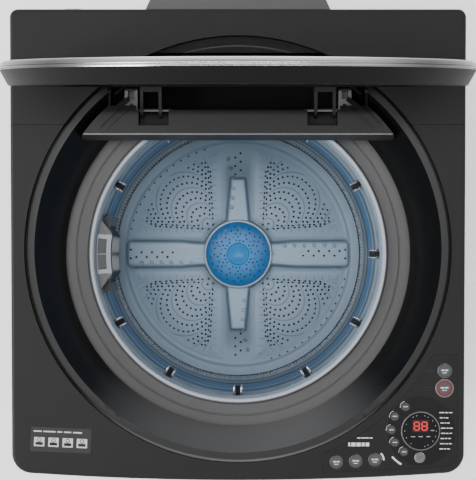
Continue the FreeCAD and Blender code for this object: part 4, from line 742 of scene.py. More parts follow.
def basket_material(settings):
    """Stainless sheet whose beads carry painted shade and painted blue reflections, and slanted hatching
    round its foot.
    """
    material, tree, shader = new_material("Embossed steel", Metallic=0.45)
    around = shared(tree, "Round the axis", Axis=tuple(AXIS))
    turns = times(tree, around.outputs["Angle"], 300 / TURN)
    slant = times(tree, around.outputs["Height"], 40.0)
    across = minus(tree, maths(tree, "FRACT", maths(tree, "ADD", turns, slant)), 0.5)
    hatch = ramp(tree, maths(tree, "ABSOLUTE", across), 0.12, 0.34, 1.0, 0.0)
    foot, mouth = low("basket").z, low("balance_ring").z
    up_wall = maths(tree, "DIVIDE", minus(tree, around.outputs["Height"], foot), mouth - foot)
    steel_and_painted_light_bands = add(tree, "ShaderNodeValToRGB")
    wire(tree, up_wall, steel_and_painted_light_bands.inputs["Fac"])
    # steel's own colour, with painted shade and painted reflections of the blue plastic laid in stripes up
    # the wall
    stops = ((0.0, settings.steel_colour), (0.24, settings.steel_colour), (0.27, settings.shadow_colour),
             (0.34, settings.blue_reflection_colour), (0.40, settings.steel_colour), (0.44, settings.shadow_colour),
             (0.50, settings.blue_reflection_colour), (0.57, settings.reflected_line_colour), (0.63, settings.reflected_line_colour),
             (0.66, settings.steel_colour), (0.70, settings.shadow_colour), (0.76, settings.blue_reflection_colour),
             (0.84, settings.steel_colour), (0.88, settings.shadow_colour), (0.93, settings.steel_colour),
             (1.0, settings.blue_reflection_colour))
    ramp_stops = steel_and_painted_light_bands.color_ramp.elements
    for place, colour in stops[1:-1]:
        ramp_stops.new(place)
    for stop, (place, colour) in zip(ramp_stops, stops):
        stop.position, stop.color = place, tuple(colour)
    effect = shared(tree, "Brushed metal", Colour=steel_and_painted_light_bands.outputs["Color"], Stretch=(2.0, 2.0, 330.0),
                    Gloss=0.34, Gloss_spread=0.08, Scratch_depth=0.25)
    height = times(tree, hatch, ramp(tree, up_wall, 0.30, 0.24))
    join_effect(tree, effect, shader, None, relief(tree, height, 0.5, 0.0010, effect.outputs["Normal"]))
    return material


def hook_angles(count):
    """Turns of the hooks; the lint filter takes the place on the left."""
    return [TURN * i / count for i in range(count) if i != count // 2]


class WASHER_OT_basket(bpy.types.Operator):
    """Build the beaded basket wall, the hooks under the balance ring and the ribbed foot"""
    bl_idname = "washer.basket"
    bl_label = "Basket"

    def execute(self, context):
        settings = context.scene.washer_tub
        bm = spun_ring(basket_outline(settings.bead_height), AXIS, 256)
        wall = piece("basket_wall", bm, basket_material(settings), "basket", 50)
        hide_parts("basket")

        ring_foot = low("balance_ring").z
        hook_r, hook_rise, prong_off = 0.1782, 0.022, 0.0048
        bm = bmesh.new()
        dark = bmesh.new()
        for angle in hook_angles(settings.hook_count):
            side = Vector((-math.sin(angle), math.cos(angle), 0))
            base = at_angle(angle, hook_r, ring_foot + hook_rise)
            for hand in (-1, 1):
                add_block(bm, base + side * hand * prong_off, (0.0125, 0.0028, 0.030), angle, 0.0009)
            add_block(dark, base - Vector((0, 0, 0.002)), (0.0105, 0.0062, 0.026), angle, 0.0006)
        look = metal("Hook steel", (0.62, 0.64, 0.67, 1), gloss=0.22)
        piece("ring_hooks", bm, look, "basket")
        piece("hook_slots", dark, bpy.data.materials["Hole shadow"], "basket")

        rib_z, rib_count = low("basket").z + 0.050, 240
        r_foot = (high("basket_base").x - low("basket_base").x) / 2
        bm = bmesh.new()
        for i in range(rib_count):
            angle = TURN * i / rib_count
            add_block(bm, at_angle(angle, r_foot - 0.0004, rib_z), (0.0016, 0.0018, 0.040), angle)
        look = metal("Rib steel", (0.66, 0.67, 0.69, 1), gloss=0.2)
        piece("foot_ribs", bm, look, "basket")
        return {"FINISHED"}


class WASHER_OT_tub(bpy.types.Operator):
    """Finish the tub, its cover, the balance ring and the drive under them"""
    bl_idname = "washer.tub"
    bl_label = "Tub and drive"

    def execute(self, context):
        settings = context.scene.washer_tub
        material, tree, shader = new_material("Tub cover plastic", Coat_Weight=0.1, Coat_Roughness=0.3)
        around = shared(tree, "Round the axis", Axis=tuple(AXIS))
        lip_r = 0.1925
        # painted highlight: a pale ring drawn on the tub cover's lip
        lip = ramp(tree, around.outputs["Radius"], lip_r, lip_r - 0.003)
        tint = blend_colour(tree, lip, tuple(settings.cover_colour), tuple(settings.lip_highlight_colour))
        effect = shared(tree, "Mould grain", Colour=tint, Cloud=0.14, Gloss=0.38, Gloss_spread=0.1,
                        Grain_scale=700.0, Grain_depth=0.10)
        join_effect(tree, effect, shader)
        dress(material, "tub_cover")
        dress(plastic("Balance ring plastic", (0.20, 0.26, 0.33, 1), gloss=0.3, Coat_Weight=0.3),
              "balance_ring")
        dress(plastic("Tub plastic", (0.16, 0.17, 0.19, 1), gloss=0.5, grain=500.0), "outer_tub")
        dress(plastic("Basket base plastic", (0.19, 0.21, 0.24, 1), gloss=0.5), "basket_base")
        dress(metal("Turned steel", (0.50, 0.50, 0.52, 1), gloss=0.28, stretch=(6.0, 6.0, 1400.0)),
              "wash_shaft", "spin_shaft", "bearings", "pulsator_screw", "motor_rotor", "suspension_rods",
              "hinge_pins")
        dress(metal("Zinc plate", (0.55, 0.55, 0.52, 1), gloss=0.42, stretch=(90.0, 90.0, 90.0), depth=0.2),
              "clutch_drum", "corner_brackets", "panel_screws")
        dress(metal("Cast alloy", (0.42, 0.42, 0.43, 1), gloss=0.5, stretch=(600.0,) * 3, depth=0.5),
              "bearing_housing", "drive_pulley")
        dress(plastic("Motor paint", (0.03, 0.03, 0.033, 1), gloss=0.4, grain=260.0, depth=0.3), "motor")
        dress(plastic("Belt rubber", (0.012, 0.012, 0.012, 1), gloss=0.7, grain=1600.0, depth=0.4),
              "drive_belt")
        dress(plastic("Service plastic", (0.55, 0.55, 0.53, 1), gloss=0.45), "inlet_valve", "drain_pump")
        return {"FINISHED"}


class WASHER_OT_filter(bpy.types.Operator):
    """Build the lint filter's pale frame, its two windows and the mesh at its ends"""
    bl_idname = "washer.lint_filter"
    bl_label = "Lint filter"

    def execute(self, context):
        dress(plastic("Filter plastic", (0.042, 0.045, 0.050, 1), gloss=0.4, Coat_Weight=0.1), "lint_filter")
        top = high("balance_ring").z - 0.004
        out_r, in_r = 0.1834, 0.1650
        frame_half, case_low = 0.0252, low("lint_filter").z + 0.020

        def bar(bm, dy, radius, size, lift, bevel=0.0005):
            angle = math.pi + dy / radius
            add_block(bm, at_angle(angle, radius, lift), size, angle, bevel)

        middle_r, middle_z = (out_r + in_r) / 2, (top + case_low) / 2
        steps = 15
        chord = 2 * frame_half / steps * 1.10
        case, bm = bmesh.new(), bmesh.new()
        for i in range(steps):
            dy = 2 * frame_half * ((i + 0.5) / steps - 0.5)
            bar(case, dy, middle_r, (out_r - in_r, chord, top - case_low), middle_z, 0.0)
            bar(bm, dy * 0.99, in_r + 0.0030, (0.0056, chord, 0.0030), top + 0.0010, 0.0)
            bar(bm, dy * 0.99, out_r - 0.0006, (0.0010, chord, 0.0020), top + 0.0008, 0.0)
        window = plastic("Filter window", (0.090, 0.092, 0.095, 1), gloss=0.45, grain=2600.0, depth=0.6)
        piece("filter_case", case, window, "filter")
        for dy, width in ((-frame_half + 0.0028, 0.0056), (0.0, 0.0012), (frame_half - 0.0028, 0.0056)):
            bar(bm, dy, middle_r, (out_r - in_r, width, 0.0026), top + 0.0011)
        look = plastic("Filter frame", (0.300, 0.320, 0.340, 1), gloss=0.38, Coat_Weight=0.2)
        piece("filter_frame", bm, look, "filter")

        bm, wing = bmesh.new(), bmesh.new()
        for side in (-1, 1):
            for i in range(13):
                span = (out_r - in_r) * (1.0 - i / 14)
                dy = side * (frame_half + 0.0008 + 0.0014 * i)
                bar(bm, dy, out_r - span / 2, (span, 0.0005, 0.0008), top, 0.0)
                bar(wing, dy, out_r - span / 2, (span, 0.0016, top - case_low), middle_z - 0.0006, 0.0)
            for j in range(9):
                r = out_r - (out_r - in_r) * (j + 0.5) / 9
                reach = 0.0190 * (1.0 - j / 10)
                bar(bm, side * (frame_half + reach / 2), r, (0.0005, reach, 0.0008), top, 0.0)
        piece("lint_mesh", bm, plastic("Mesh thread", (0.26, 0.26, 0.27, 1), gloss=0.6), "filter")
        piece("filter_wings", wing, plastic("Wing net", (0.055, 0.056, 0.060, 1), gloss=0.6), "filter")

        bm = bmesh.new()
        face_r = in_r - 0.0002
        for side in (-1, 1):
            for k in range(16):
                z = case_low + (top - case_low) * (0.10 + 0.78 * k / 15)
                bar(bm, side * 0.0120, face_r, (0.0008, 0.0200, 0.0008), z, 0.0)
        piece("filter_ribs", bm, look, "filter")
        return {"FINISHED"}


# ---------------------------------------------------------------- deck, funnel, hinge and lid
class WASHER_OT_body(bpy.types.Operator):
    """Finish the cabinet, deck, funnel, base and feet"""
    bl_idname = "washer.body"
    bl_label = "Cabinet and deck"

    def execute(self, context):
        settings = context.scene.washer_body
        grain = settings.grain_scale
        dress(plastic("Deck plastic", tuple(settings.deck_colour), gloss=0.46, cloud=0.16, grain=grain,
                      depth=0.22, Specular_IOR_Level=0.25), "top_deck_front", "top_deck_rear")
        dress(plastic("Cabinet paint", tuple(settings.shell_colour), gloss=0.32, cloud=0.06, grain=420.0,
                      depth=0.10, Coat_Weight=0.35, Coat_Roughness=0.18), "cabinet_shell")
        dress(plastic("Back sheet", (0.060, 0.060, 0.062, 1), gloss=0.5, grain=300.0, depth=0.1),
              "rear_panel")
        dress(self.funnel_look(settings), "funnel")
        dress(self.shelf_look(settings), "hinge_shelf", "shelf_cap")
        dress(plastic("Base plastic", (0.03, 0.03, 0.032, 1), gloss=0.55, grain=500.0), "base_frame")
        rubber = plastic("Rubber", (0.018, 0.018, 0.018, 1), gloss=0.65, grain=1400.0, depth=0.3)
        feet = [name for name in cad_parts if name.startswith("foot_")]
        dress(rubber, "lid_bumpers", "cable_gland", *feet)
        return {"FINISHED"}

    def shelf_look(self, settings):
        """Satin moulding with a painted shadow of the lid over its rear part, and one painted highlight arc.
        """
        material, tree, shader = new_material("Shelf plastic", Specular_IOR_Level=0.3)
        around = shared(tree, "Round the axis", Axis=(0.0, RECESS_Y, 0.0))
        # painted shadow: the rear of the shelf, under the raised lid, drawn near black as the lid's shadow
        lid_shadow_mask = ramp(tree, self.depthwise(tree), 0.150, 0.160)
        tint = blend_colour(tree, lid_shadow_mask, tuple(settings.shelf_colour), (0.0030, 0.0030, 0.0031, 1.0))
        # painted highlight: a thin paler line drawn along the seat's inner edge inside the lid's shadow
        off_arc = maths(tree, "ABSOLUTE", minus(tree, around.outputs["Radius"], 0.2525))
        arc = times(tree, ramp(tree, off_arc, 0.0012, 0.0004), lid_shadow_mask)
        tint = blend_colour(tree, arc, tint, (0.040, 0.040, 0.041, 1.0))
        effect = shared(tree, "Mould grain", Colour=tint, Cloud=0.12, Gloss=0.45, Gloss_spread=0.08,
                        Grain_scale=settings.grain_scale, Grain_depth=0.25)
        join_effect(tree, effect, shader)
        return material

    def funnel_look(self, settings):
        """Near-black moulding with a painted highlight: its front wall, facing the light, is drawn a softer
        grey than its sides.
        """
        material, tree, shader = new_material("Funnel gloss", Coat_Weight=0.12, Coat_Roughness=0.25,
                                              Specular_IOR_Level=0.25)
        around = shared(tree, "Round the axis", Axis=(0.0, AXIS.y, 0.0))
        y = self.depthwise(tree)
        forward = maths(tree, "DIVIDE", minus(tree, AXIS.y, y), around.outputs["Radius"])
        # painted highlight: the front wall drawn grey where light falls on it, the sides near black
        tint = blend_colour(tree, ramp(tree, forward, 0.62, 1.0), tuple(settings.funnel_colour),
                            (0.095, 0.095, 0.096, 1.0))
        ledge = ramp(tree, around.outputs["Height"], LEDGE_Z - 0.0006, LEDGE_Z - 0.0002)
        ledge = times(tree, ledge, ramp(tree, y, 0.190, 0.170))
        tint = blend_colour(tree, ledge, tint, (0.024, 0.024, 0.0245, 1.0))
        effect = shared(tree, "Mould grain", Colour=tint, Cloud=0.12, Gloss=0.30, Gloss_spread=0.08,
                        Grain_scale=500.0, Grain_depth=0.05)
        join_effect(tree, effect, shader)
        return material

    def depthwise(self, tree):
        """Place from front to back."""
        parts = add(tree, "ShaderNodeSeparateXYZ")
        wire(tree, object_place(tree), parts.inputs[0])
        return parts.outputs["Y"]


SHELF_DROP = 0.008


class WASHER_OT_hinge(bpy.types.Operator):
    """Add the shelf's front bead, drawn pale as a painted highlight, and side ridges, and finish brackets and
    arms
    """
    bl_idname = "washer.hinge"
    bl_label = "Hinge shelf"

    def execute(self, context):
        dress(plastic("Bracket plastic", (0.10, 0.10, 0.105, 1), gloss=0.4), "hinge_brackets")
        dress(plastic("Arm coating", (0.014, 0.014, 0.0145, 1), gloss=0.38, grain=1100.0, depth=0.2),
              "lid_arms")
        shelf_z = DECK_Z - SHELF_DROP
        front_y = low("hinge_shelf").y + 0.0059
        half = high("hinge_shelf").x - 0.0040
        bm = bmesh.new()
        # painted highlight: the bead is the shelf's raised front lip, drawn pale where its rounded edge
        # catches light
        add_block(bm, (0, front_y, shelf_z + 0.0001), (2 * half, 0.0022, 0.0016), 0, 0.0007, 3)
        bead = plastic("Bead painted highlight", (0.13, 0.13, 0.13, 1), gloss=0.3, Coat_Weight=0.3)
        piece("shelf_bead", bm, bead, "cabinet")
        bm = bmesh.new()
        start, sweep, count = 41.5, 12.5, 14
        for side in (-1, 1):
            for radius, width, rise in ((0.2305, 0.006, 0.0026), (0.2215, 0.004, 0.0016)):
                length = radius * math.radians(sweep / count) * 1.04
                for i in range(count):
                    a = math.radians(start + sweep * (i + 0.5) / count)
                    place = (side * radius * math.cos(a), RECESS_Y + radius * math.sin(a),
                             shelf_z + rise / 2 - 0.0004)
                    add_block(bm, place, (width, length, rise), a if side > 0 else math.pi - a)
        piece("shelf_ridges", bm, bpy.data.materials["Shelf plastic"], "cabinet")
        return {"FINISHED"}


class WASHER_OT_lid(bpy.types.Operator):
    """Finish the lid's frame, the bezel with its painted reflection, and the glass"""
    bl_idname = "washer.lid"
    bl_label = "Lid"

    def execute(self, context):
        dress(plastic("Lid band plastic", (0.0058, 0.0058, 0.0060, 1), gloss=0.52, grain=1100.0, depth=0.1,
                      Specular_IOR_Level=0.12), "lid_frame")
        dress(metal("Bright trim", (0.62, 0.62, 0.63, 1), gloss=0.2, spread=0.06,
                    stretch=(30.0, 30.0, 700.0), depth=0.04), "trim_rings")
        material, tree, shader = new_material("Bezel painted reflection", Metallic=1.0)
        around = shared(tree, "Round the axis", Axis=tuple(AXIS))
        # painted reflection: the bezel drawn white at its middle and dark towards its ends, as a soft
        # overhead light reflected in it
        painted_light_fade = ramp(tree, around.outputs["Across"], 0.05, 0.21)
        tint = blend_colour(tree, painted_light_fade, (1.0, 1.0, 1.0, 1), (0.13, 0.13, 0.135, 1))
        effect = shared(tree, "Brushed metal", Colour=tint, Stretch=(3.0, 3.0, 60.0), Gloss=0.24,
                        Gloss_spread=0.03, Scratch_depth=0.0)
        join_effect(tree, effect, shader)
        dress(material, "lid_bezel")
        material, tree, shader = new_material("Tinted glass", IOR=1.5, Transmission_Weight=0.75, Metallic=0.0,
                                              Coat_Weight=0.3, Coat_Roughness=0.03)
        effect = shared(tree, "Mould grain", Colour=(0.10, 0.11, 0.12, 1), Cloud=0.08, Gloss=0.05,
                        Gloss_spread=0.03, Grain_scale=60.0, Grain_depth=0.01)
        join_effect(tree, effect, shader)
        dress(material, "lid_glass")
        return {"FINISHED"}


# ---------------------------------------------------------------- controls
SEGMENTS = ((0, 1, True), (1, 0.5, False), (1, -0.5, False), (0, -1, True), (-1, -0.5, False),
            (-1, 0.5, False), (0, 0, True))
SEGMENT_W, SEGMENT_T, SEGMENT_FILL = 0.0015, 0.0003, 0.78
PRINT_T = 0.00012


def add_digit(bm, centre, width, height):
    """All seven bars of one digit, lying flat."""
    for dx, dy, flat in SEGMENTS:
        bar = ((width * SEGMENT_FILL, SEGMENT_W, SEGMENT_T) if flat else
               (SEGMENT_W, height / 2 * SEGMENT_FILL, SEGMENT_T))
        place = (centre[0] + dx * width / 2, centre[1] + dy * height / 2, centre[2])
        add_block(bm, place, bar, 0, 0.00012, 1)


def add_arc_bar(bm, centre, radius, start, end, width, z, count=12):
    """Printed arc made of short flat blocks."""
    for i in range(count):
        a = math.radians(start + (end - start) * (i + 0.5) / count)
        length = radius * math.radians(abs(end - start) / count) * 1.05
        place = (centre[0] + radius * math.cos(a), centre[1] + radius * math.sin(a), z)
        add_block(bm, place, (width, length, PRINT_T), a)


def add_word(bm, x, y, z, lengths, height, gap=0.0011):
    """Row of plain bars that stands for a printed word."""
    for length in lengths:
        add_block(bm, (x + length / 2, y, z), (length, height, PRINT_T))
        x += length + gap


class WASHER_OT_controls(bpy.types.Operator):
    """Build the display's digits, the printed marks and the button faces"""
    bl_idname = "washer.controls"
    bl_label = "Control panel"

    def execute(self, context):
        settings = context.scene.washer_controls
        self.fascia(settings)
        self.display(settings)
        self.prints(settings)
        self.buttons()
        return {"FINISHED"}

    def fascia(self, settings):
        """Fascia with a darker dial disc and a fine parting line round it."""
        material, tree, shader = new_material("Fascia plastic", Specular_IOR_Level=0.25)
        around = shared(tree, "Round the axis", Axis=(DIAL.x, DIAL.y, DECK_Z))
        disc = ramp(tree, around.outputs["Radius"], settings.dial_radius + 0.0004, settings.dial_radius)
        tint = blend_colour(tree, disc, (0.0125, 0.0125, 0.0128, 1), (0.0095, 0.0092, 0.0095, 1))
        effect = shared(tree, "Mould grain", Colour=tint, Cloud=0.12, Gloss=0.42, Gloss_spread=0.06,
                        Grain_scale=900.0, Grain_depth=0.2)
        join_effect(tree, effect, shader, None, relief(tree, disc, 0.6, 0.0004, effect.outputs["Normal"]))
        dress(material, "control_fascia")
        dress(plastic("Board mask", (0.02, 0.10, 0.045, 1), gloss=0.35, grain=400.0), "control_board")

    def display(self, settings):
        """Black window, two lit digits, small ticks and status bars."""
        dress(plastic("Window black", (0.004, 0.004, 0.005, 1), gloss=0.12, depth=0.02, Coat_Weight=0.5,
                      Coat_Roughness=0.04), "display_window")
        top = high("display_window").z + 0.0001
        digit_y = DIAL.y + 0.0061
        bm = bmesh.new()
        for side in (-1, 1):
            add_digit(bm, (DIAL.x + side * 0.0048, digit_y, top), 0.0062, 0.0100)
        material, tree, shader = new_material("Lit digit", Roughness=0.4, Emission_Strength=0.35)
        glow = shared(tree, "Mould grain", Colour=tuple(settings.digit_colour), Cloud=0.3, Gloss=0.4,
                      Gloss_spread=0.05, Grain_scale=600.0, Grain_depth=0.05)
        join_effect(tree, glow, shader)
        wire(tree, glow.outputs["Colour"], shader.inputs["Emission Color"])
        piece("display_digits", bm, material, "cabinet")
        bm = bmesh.new()
        add_block(bm, (DIAL.x, digit_y, top - 0.0001), (0.0205, 0.0150, PRINT_T))
        piece("digit_backing", bm, plastic("Digit backing", (0.030, 0.010, 0.011, 1), gloss=0.3), "cabinet")
        bm = bmesh.new()
        tick_r = 0.0195
        for degrees in (62, 75, 118, 105, 40, 20, 0, -20, -40, -62, -75, 155, 180, 205, 232):
            a = math.radians(degrees)
            place = (DIAL.x + tick_r * math.cos(a), DIAL.y + tick_r * math.sin(a), top)
            add_block(bm, place, (0.0007, 0.0014, PRINT_T), a)
        for dx in (-0.0095, 0.0, 0.0095):
            add_block(bm, (DIAL.x + dx, DIAL.y - 0.0068, top), (0.0052, 0.0011, PRINT_T))
        add_block(bm, (DIAL.x + 0.0145, DIAL.y + 0.0008, top), (0.0042, 0.0010, PRINT_T))
        piece("display_ticks", bm, plastic("Tick print", (0.24, 0.24, 0.25, 1), gloss=0.5), "cabinet")

    def prints(self, settings):
        """Plain bars in place of words, and two arcs."""
        z = DECK_Z + settings.print_lift / 2
        light = plastic("Print ink", tuple(settings.print_colour), gloss=0.5, cloud=0.2, depth=0.05)
        faint = plastic("Faint ink", (0.012, 0.012, 0.013, 1), gloss=0.5)
        bm = bmesh.new()
        for i, length in enumerate((33, 19, 21, 28, 26, 24, 29, 25)):
            dy = 0.0228 - 0.0064 * i
            dx = 0.0245 - 0.12 * abs(dy + 0.0005)
            word = length * MM * 0.46
            words = (word * 0.42, word * 0.22, word * 0.30)
            add_word(bm, DIAL.x + dx + 0.0012, DIAL.y + dy, z, words, 0.0011)
        for name in ("key_1", "key_2", "key_3", "key_4", "key_5"):
            spot = middle(name)
            add_arc_bar(bm, (spot.x, spot.y), 0.0066, 100, 190, 0.0004, z, 6)
        x, y = middle("button_option_3").xy
        add_arc_bar(bm, (x, y), 0.0108, -2, 48, 0.0021, z)
        add_arc_bar(bm, (DIAL.x, DIAL.y), 0.0475, 222, 240, 0.0021, z)
        add_word(bm, DIAL.x - 0.0785, DIAL.y - 0.0085, z, (0.004, 0.009, 0.004), 0.0012)
        add_word(bm, DIAL.x - 0.0895, DIAL.y - 0.0165, z, (0.0024, 0.0052, 0.0052, 0.0034, 0.0044), 0.0046,
                 0.0013)
        piece("panel_prints", bm, light, "cabinet")
        bm = bmesh.new()
        for name in ("button_power", "button_start"):
            spot = middle(name)
            x0 = low(name).x - 0.0145
            add_word(bm, x0 - 0.0015, spot.y + 0.0008, z, (0.0052, 0.0048), 0.0018)
            add_word(bm, x0 + 0.002, spot.y - 0.0026, z, (0.0062,), 0.0009)
        for name in ("button_option_1", "button_option_2", "button_option_3"):
            spot = middle(name)
            add_word(bm, spot.x - 0.005, spot.y - 0.0105, z, (0.0045, 0.0045), 0.0009)
        piece("panel_shadow_prints", bm, faint, "cabinet")

    def buttons(self):
        """Faces of the buttons, each riding on its own button."""
        grey = plastic("Button plastic", (0.052, 0.052, 0.056, 1), gloss=0.35, Coat_Weight=0.3)
        silver = metal("Metallised plastic", (0.66, 0.66, 0.68, 1), gloss=0.25, stretch=(40.0, 900.0, 40.0))
        soft = plastic("Key rubber", (0.040, 0.040, 0.042, 1), gloss=0.6, grain=1500.0)
        red = plastic("Red ring", (0.22, 0.008, 0.012, 1), gloss=0.35, Coat_Weight=0.4)
        light = bpy.data.materials["Print ink"]
        for name in [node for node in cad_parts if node.startswith(("button_", "key_"))]:
            look = soft if name.startswith("key_") else silver if name == "button_select" else grey
            dress(look, name)
            spot = middle(name)
            top = high(name).z + 0.00005
            width = high(name).x - low(name).x
            bm = bmesh.new()
            if name.startswith("key_"):
                add_word(bm, spot.x - 0.0026, spot.y + 0.0002, top, (0.0022, 0.0024), 0.0010, 0.0006)
            elif name == "button_select":
                add_word(bm, spot.x - 0.0032, spot.y + 0.0012, top, (0.0028, 0.0030), 0.0008, 0.0006)
                add_word(bm, spot.x - 0.0022, spot.y - 0.0010, top, (0.0045,), 0.0007)
            else:
                add_word(bm, spot.x - width * 0.24, spot.y + 0.0006, top, (width * 0.2, width * 0.22), 0.0015,
                         0.0009)
                add_word(bm, spot.x - width * 0.16, spot.y - 0.0026, top, (width * 0.30,), 0.0008)
            mark = grey if name == "button_select" else light
            piece(name + "_mark", bm, mark, name + "_body")
        start = middle("button_start")
        bm = bmesh.new()
        add_hoop(bm, (start.x, start.y, high("button_start").z - 0.0001), 0.0083, 0.0011, 0.0003, 64)
        piece("start_red_ring", bm, red, "button_start_body")


class WASHER_OT_sticker(bpy.types.Operator):
    """Add the pale sticker with four plain pictograms at the front left"""
    bl_idname = "washer.sticker"
    bl_label = "Sticker"

    def execute(self, context):
        centre = Vector((-0.2190, low("top_deck_front").y + 0.0500, DECK_Z))
        turn = math.radians(-2.5)
        plate = plastic("Sticker film", (0.022, 0.022, 0.023, 1), gloss=0.35)
        pale = plastic("Sticker print", (0.42, 0.42, 0.43, 1), gloss=0.45)
        dark = bpy.data.materials["Hole shadow"]
        turned = Matrix.Rotation(turn, 3, "Z")

        def at(dx, dy, dz):
            return centre + turned @ Vector((dx, dy, dz))

        bm = bmesh.new()
        add_block(bm, at(0, 0, 0.0001), (0.0745, 0.0300, 0.0002), turn, 0.00008, 1)
        piece("sticker_film", bm, plate, "cabinet")
        prints, symbols = bmesh.new(), bmesh.new()
        for i in range(4):
            dx = -0.0265 + 0.0176 * i
            add_block(prints, at(dx, -0.0030, 0.00024), (0.0128, 0.0112, 0.0001), turn)
            add_block(symbols, at(dx, -0.0052, 0.00031), (0.0092, 0.0036, 0.0001), turn)
            add_hoop(symbols, at(dx, -0.0006, 0.00026), 0.0022, 0.0009, 0.0001, 20)
        x = -0.0340
        for length in (0.010, 0.015, 0.006, 0.009, 0.011):
            add_block(prints, at(x + length / 2, 0.0100, 0.00024), (length, 0.0016, 0.0001), turn)
            x += length + 0.0022
        piece("sticker_prints", prints, pale, "cabinet")
        piece("sticker_symbols", symbols, dark, "cabinet")
        return {"FINISHED"}


# ---------------------------------------------------------------- springs
SPRING_GAP = 0.0012  # keeps the wound wire clear of the tub at its lowest


class WASHER_OT_springs(bpy.types.Operator):
    """Wind the four suspension springs"""
    bl_idname = "washer.springs"
    bl_label = "Suspension springs"

    def execute(self, context):
        box_low, box_high = low("suspension_springs"), high("suspension_springs")
        reach = (box_high.x - box_low.x) / 2 - 0.014
        bm = bmesh.new()
        for sx in (-1, 1):
            for sy in (-1, 1):
                centre = Vector((sx * reach, AXIS.y + sy * reach, box_low.z))
                self.coil(bm, centre, box_high.z - box_low.z - SPRING_GAP)
        look = metal("Spring steel", (0.24, 0.24, 0.26, 1), gloss=0.35, stretch=(300.0, 300.0, 300.0))
        springs = piece("spring_coils", bm, look, "cabinet", 60)
        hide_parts("suspension_springs")
        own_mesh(springs)
        return {"FINISHED"}

    def coil(self, bm, centre, height, turns=6, wire_r=0.0014, coil_r=0.0125, steps=20):
        """One helical spring by sweeping a small circle up a screw."""
        part = bmesh.new()
        upright = Matrix.Translation((coil_r, 0, wire_r)) @ Matrix.Rotation(math.pi / 2, 4, "X")
        bmesh.ops.create_circle(part, cap_ends=True, segments=8, radius=wire_r, matrix=upright)
        rise = (height - 2 * wire_r) / (turns * steps)
        bmesh.ops.spin(part, geom=part.verts[:] + part.edges[:] + part.faces[:], cent=(0, 0, 0),
                       axis=(0, 0, 1), dvec=(0, 0, rise), angle=TURN * turns, steps=turns * steps)
        bmesh.ops.recalc_face_normals(part, faces=part.faces)
        bmesh.ops.translate(part, verts=part.verts, vec=centre)
        join_mesh(bm, part)


# ---------------------------------------------------------------- stage
def area_light(name, place, target, size, power):
    """Soft rectangular light aimed at a point."""
    lamp = bpy.data.lights.new(name, "AREA")
    lamp.shape = "RECTANGLE"
    lamp.size, lamp.size_y = size
    lamp.energy = power
    holder = bpy.data.objects.new(name, lamp)
    holder.location = place
    holder.rotation_euler = (Vector(target) - Vector(place)).to_track_quat("-Z", "Y").to_euler()
    bpy.context.scene.collection.objects.link(holder)
    holder.visible_camera = False
    return holder


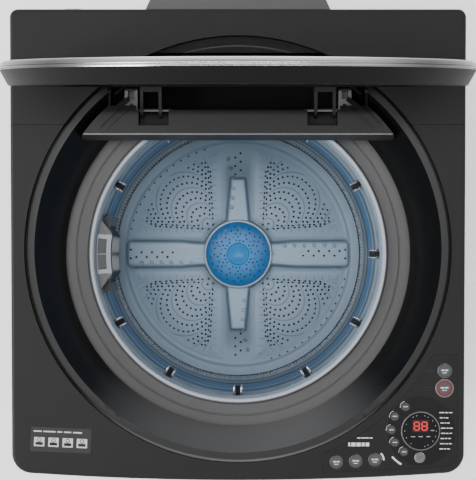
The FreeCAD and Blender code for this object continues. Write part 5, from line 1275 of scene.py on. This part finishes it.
class WASHER_OT_stage(bpy.types.Operator):
    """Set out the floor, the lights and the camera"""
    bl_idname = "washer.stage"
    bl_label = "Stage"

    def execute(self, context):
        settings = context.scene.washer_stage
        bm = bmesh.new()
        bmesh.ops.create_grid(bm, x_segments=4, y_segments=4, size=settings.floor_size / 2)
        mesh = bpy.data.meshes.new("floor")
        bm.to_mesh(mesh)
        bm.free()
        look = plastic("Floor", tuple(settings.floor_colour), gloss=0.8, cloud=0.02, grain=40.0, depth=0.02,
                       Emission_Color=(1, 1, 1, 1), Emission_Strength=settings.floor_glow)
        mesh.materials.append(look)
        floor = bpy.data.objects.new("floor", mesh)
        context.scene.collection.objects.link(floor)

        self.sky(context.scene)
        area_light("Key", (-2.1, -0.3, 2.5), (0, 0, 0.9), (1.3, 1.3), 58)
        area_light("Strip", (0.0, 0.38, 3.3), (0, 0.2, 1.3), (2.6, 0.16), 9)
        for name, place, power in (("Overhead", (0.0, -0.02, 3.5), 44), ("Well", (-0.42, 0.10, 3.3), 26),
                                   ("Fill", (1.6, -1.2, 2.2), 4)):
            area_light(name, place, (0, 0, 0), (0.6, 0.6), power).visible_glossy = False

        data = bpy.data.cameras.new("Camera")
        data.sensor_width = 36.0
        data.lens = settings.lens
        data.shift_y = 14 / 480
        data.clip_end = 100
        camera = bpy.data.objects.new("Camera", data)
        camera.location = (AXIS.x, AXIS.y, DECK_Z + settings.camera_height)
        context.scene.collection.objects.link(camera)
        context.scene.camera = camera
        return {"FINISHED"}

    def sky(self, scene):
        """Pale surroundings, dimmer overhead than at the sides."""
        world = bpy.data.worlds.new("Studio")
        world.use_nodes = True
        tree = world.node_tree
        parts = add(tree, "ShaderNodeSeparateXYZ")
        wire(tree, add(tree, "ShaderNodeTexCoord").outputs["Generated"], parts.inputs[0])
        background = tree.nodes["Background"]
        background.inputs["Color"].default_value = (1, 1, 1, 1)
        wire(tree, ramp(tree, parts.outputs["Z"], 0.0, 1.0, 1.15, 0.30), background.inputs["Strength"])
        scene.world = world


OPERATORS = (WASHER_OT_pulsator, WASHER_OT_cap, WASHER_OT_basket, WASHER_OT_tub, WASHER_OT_filter,
             WASHER_OT_body, WASHER_OT_hinge, WASHER_OT_lid, WASHER_OT_controls, WASHER_OT_sticker,
             WASHER_OT_springs, WASHER_OT_stage)


class WASHER_PT_panel(bpy.types.Panel):
    """Lists the steps of the build"""
    bl_idname = "WASHER_PT_panel"
    bl_label = "Washer"
    bl_space_type = "VIEW_3D"
    bl_region_type = "UI"
    bl_category = "Washer"

    def draw(self, context):
        for operator in OPERATORS:
            self.layout.operator(operator.bl_idname)


def register():
    """Register the settings, operators and panel."""
    for name, group in SETTINGS.items():
        bpy.utils.register_class(group)
        setattr(bpy.types.Scene, name, bpy.props.PointerProperty(type=group))
    for operator in OPERATORS:
        bpy.utils.register_class(operator)
    bpy.utils.register_class(WASHER_PT_panel)


def unregister():
    """Remove what register added."""
    bpy.utils.unregister_class(WASHER_PT_panel)
    for operator in reversed(OPERATORS):
        bpy.utils.unregister_class(operator)
    for name, group in SETTINGS.items():
        delattr(bpy.types.Scene, name)
        bpy.utils.unregister_class(group)


def main():
    """Build every piece."""
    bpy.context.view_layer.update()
    register()
    for operator in OPERATORS:
        category, name = operator.bl_idname.split(".")
        getattr(getattr(bpy.ops, category), name)()


if __name__ == "__main__":
    main()
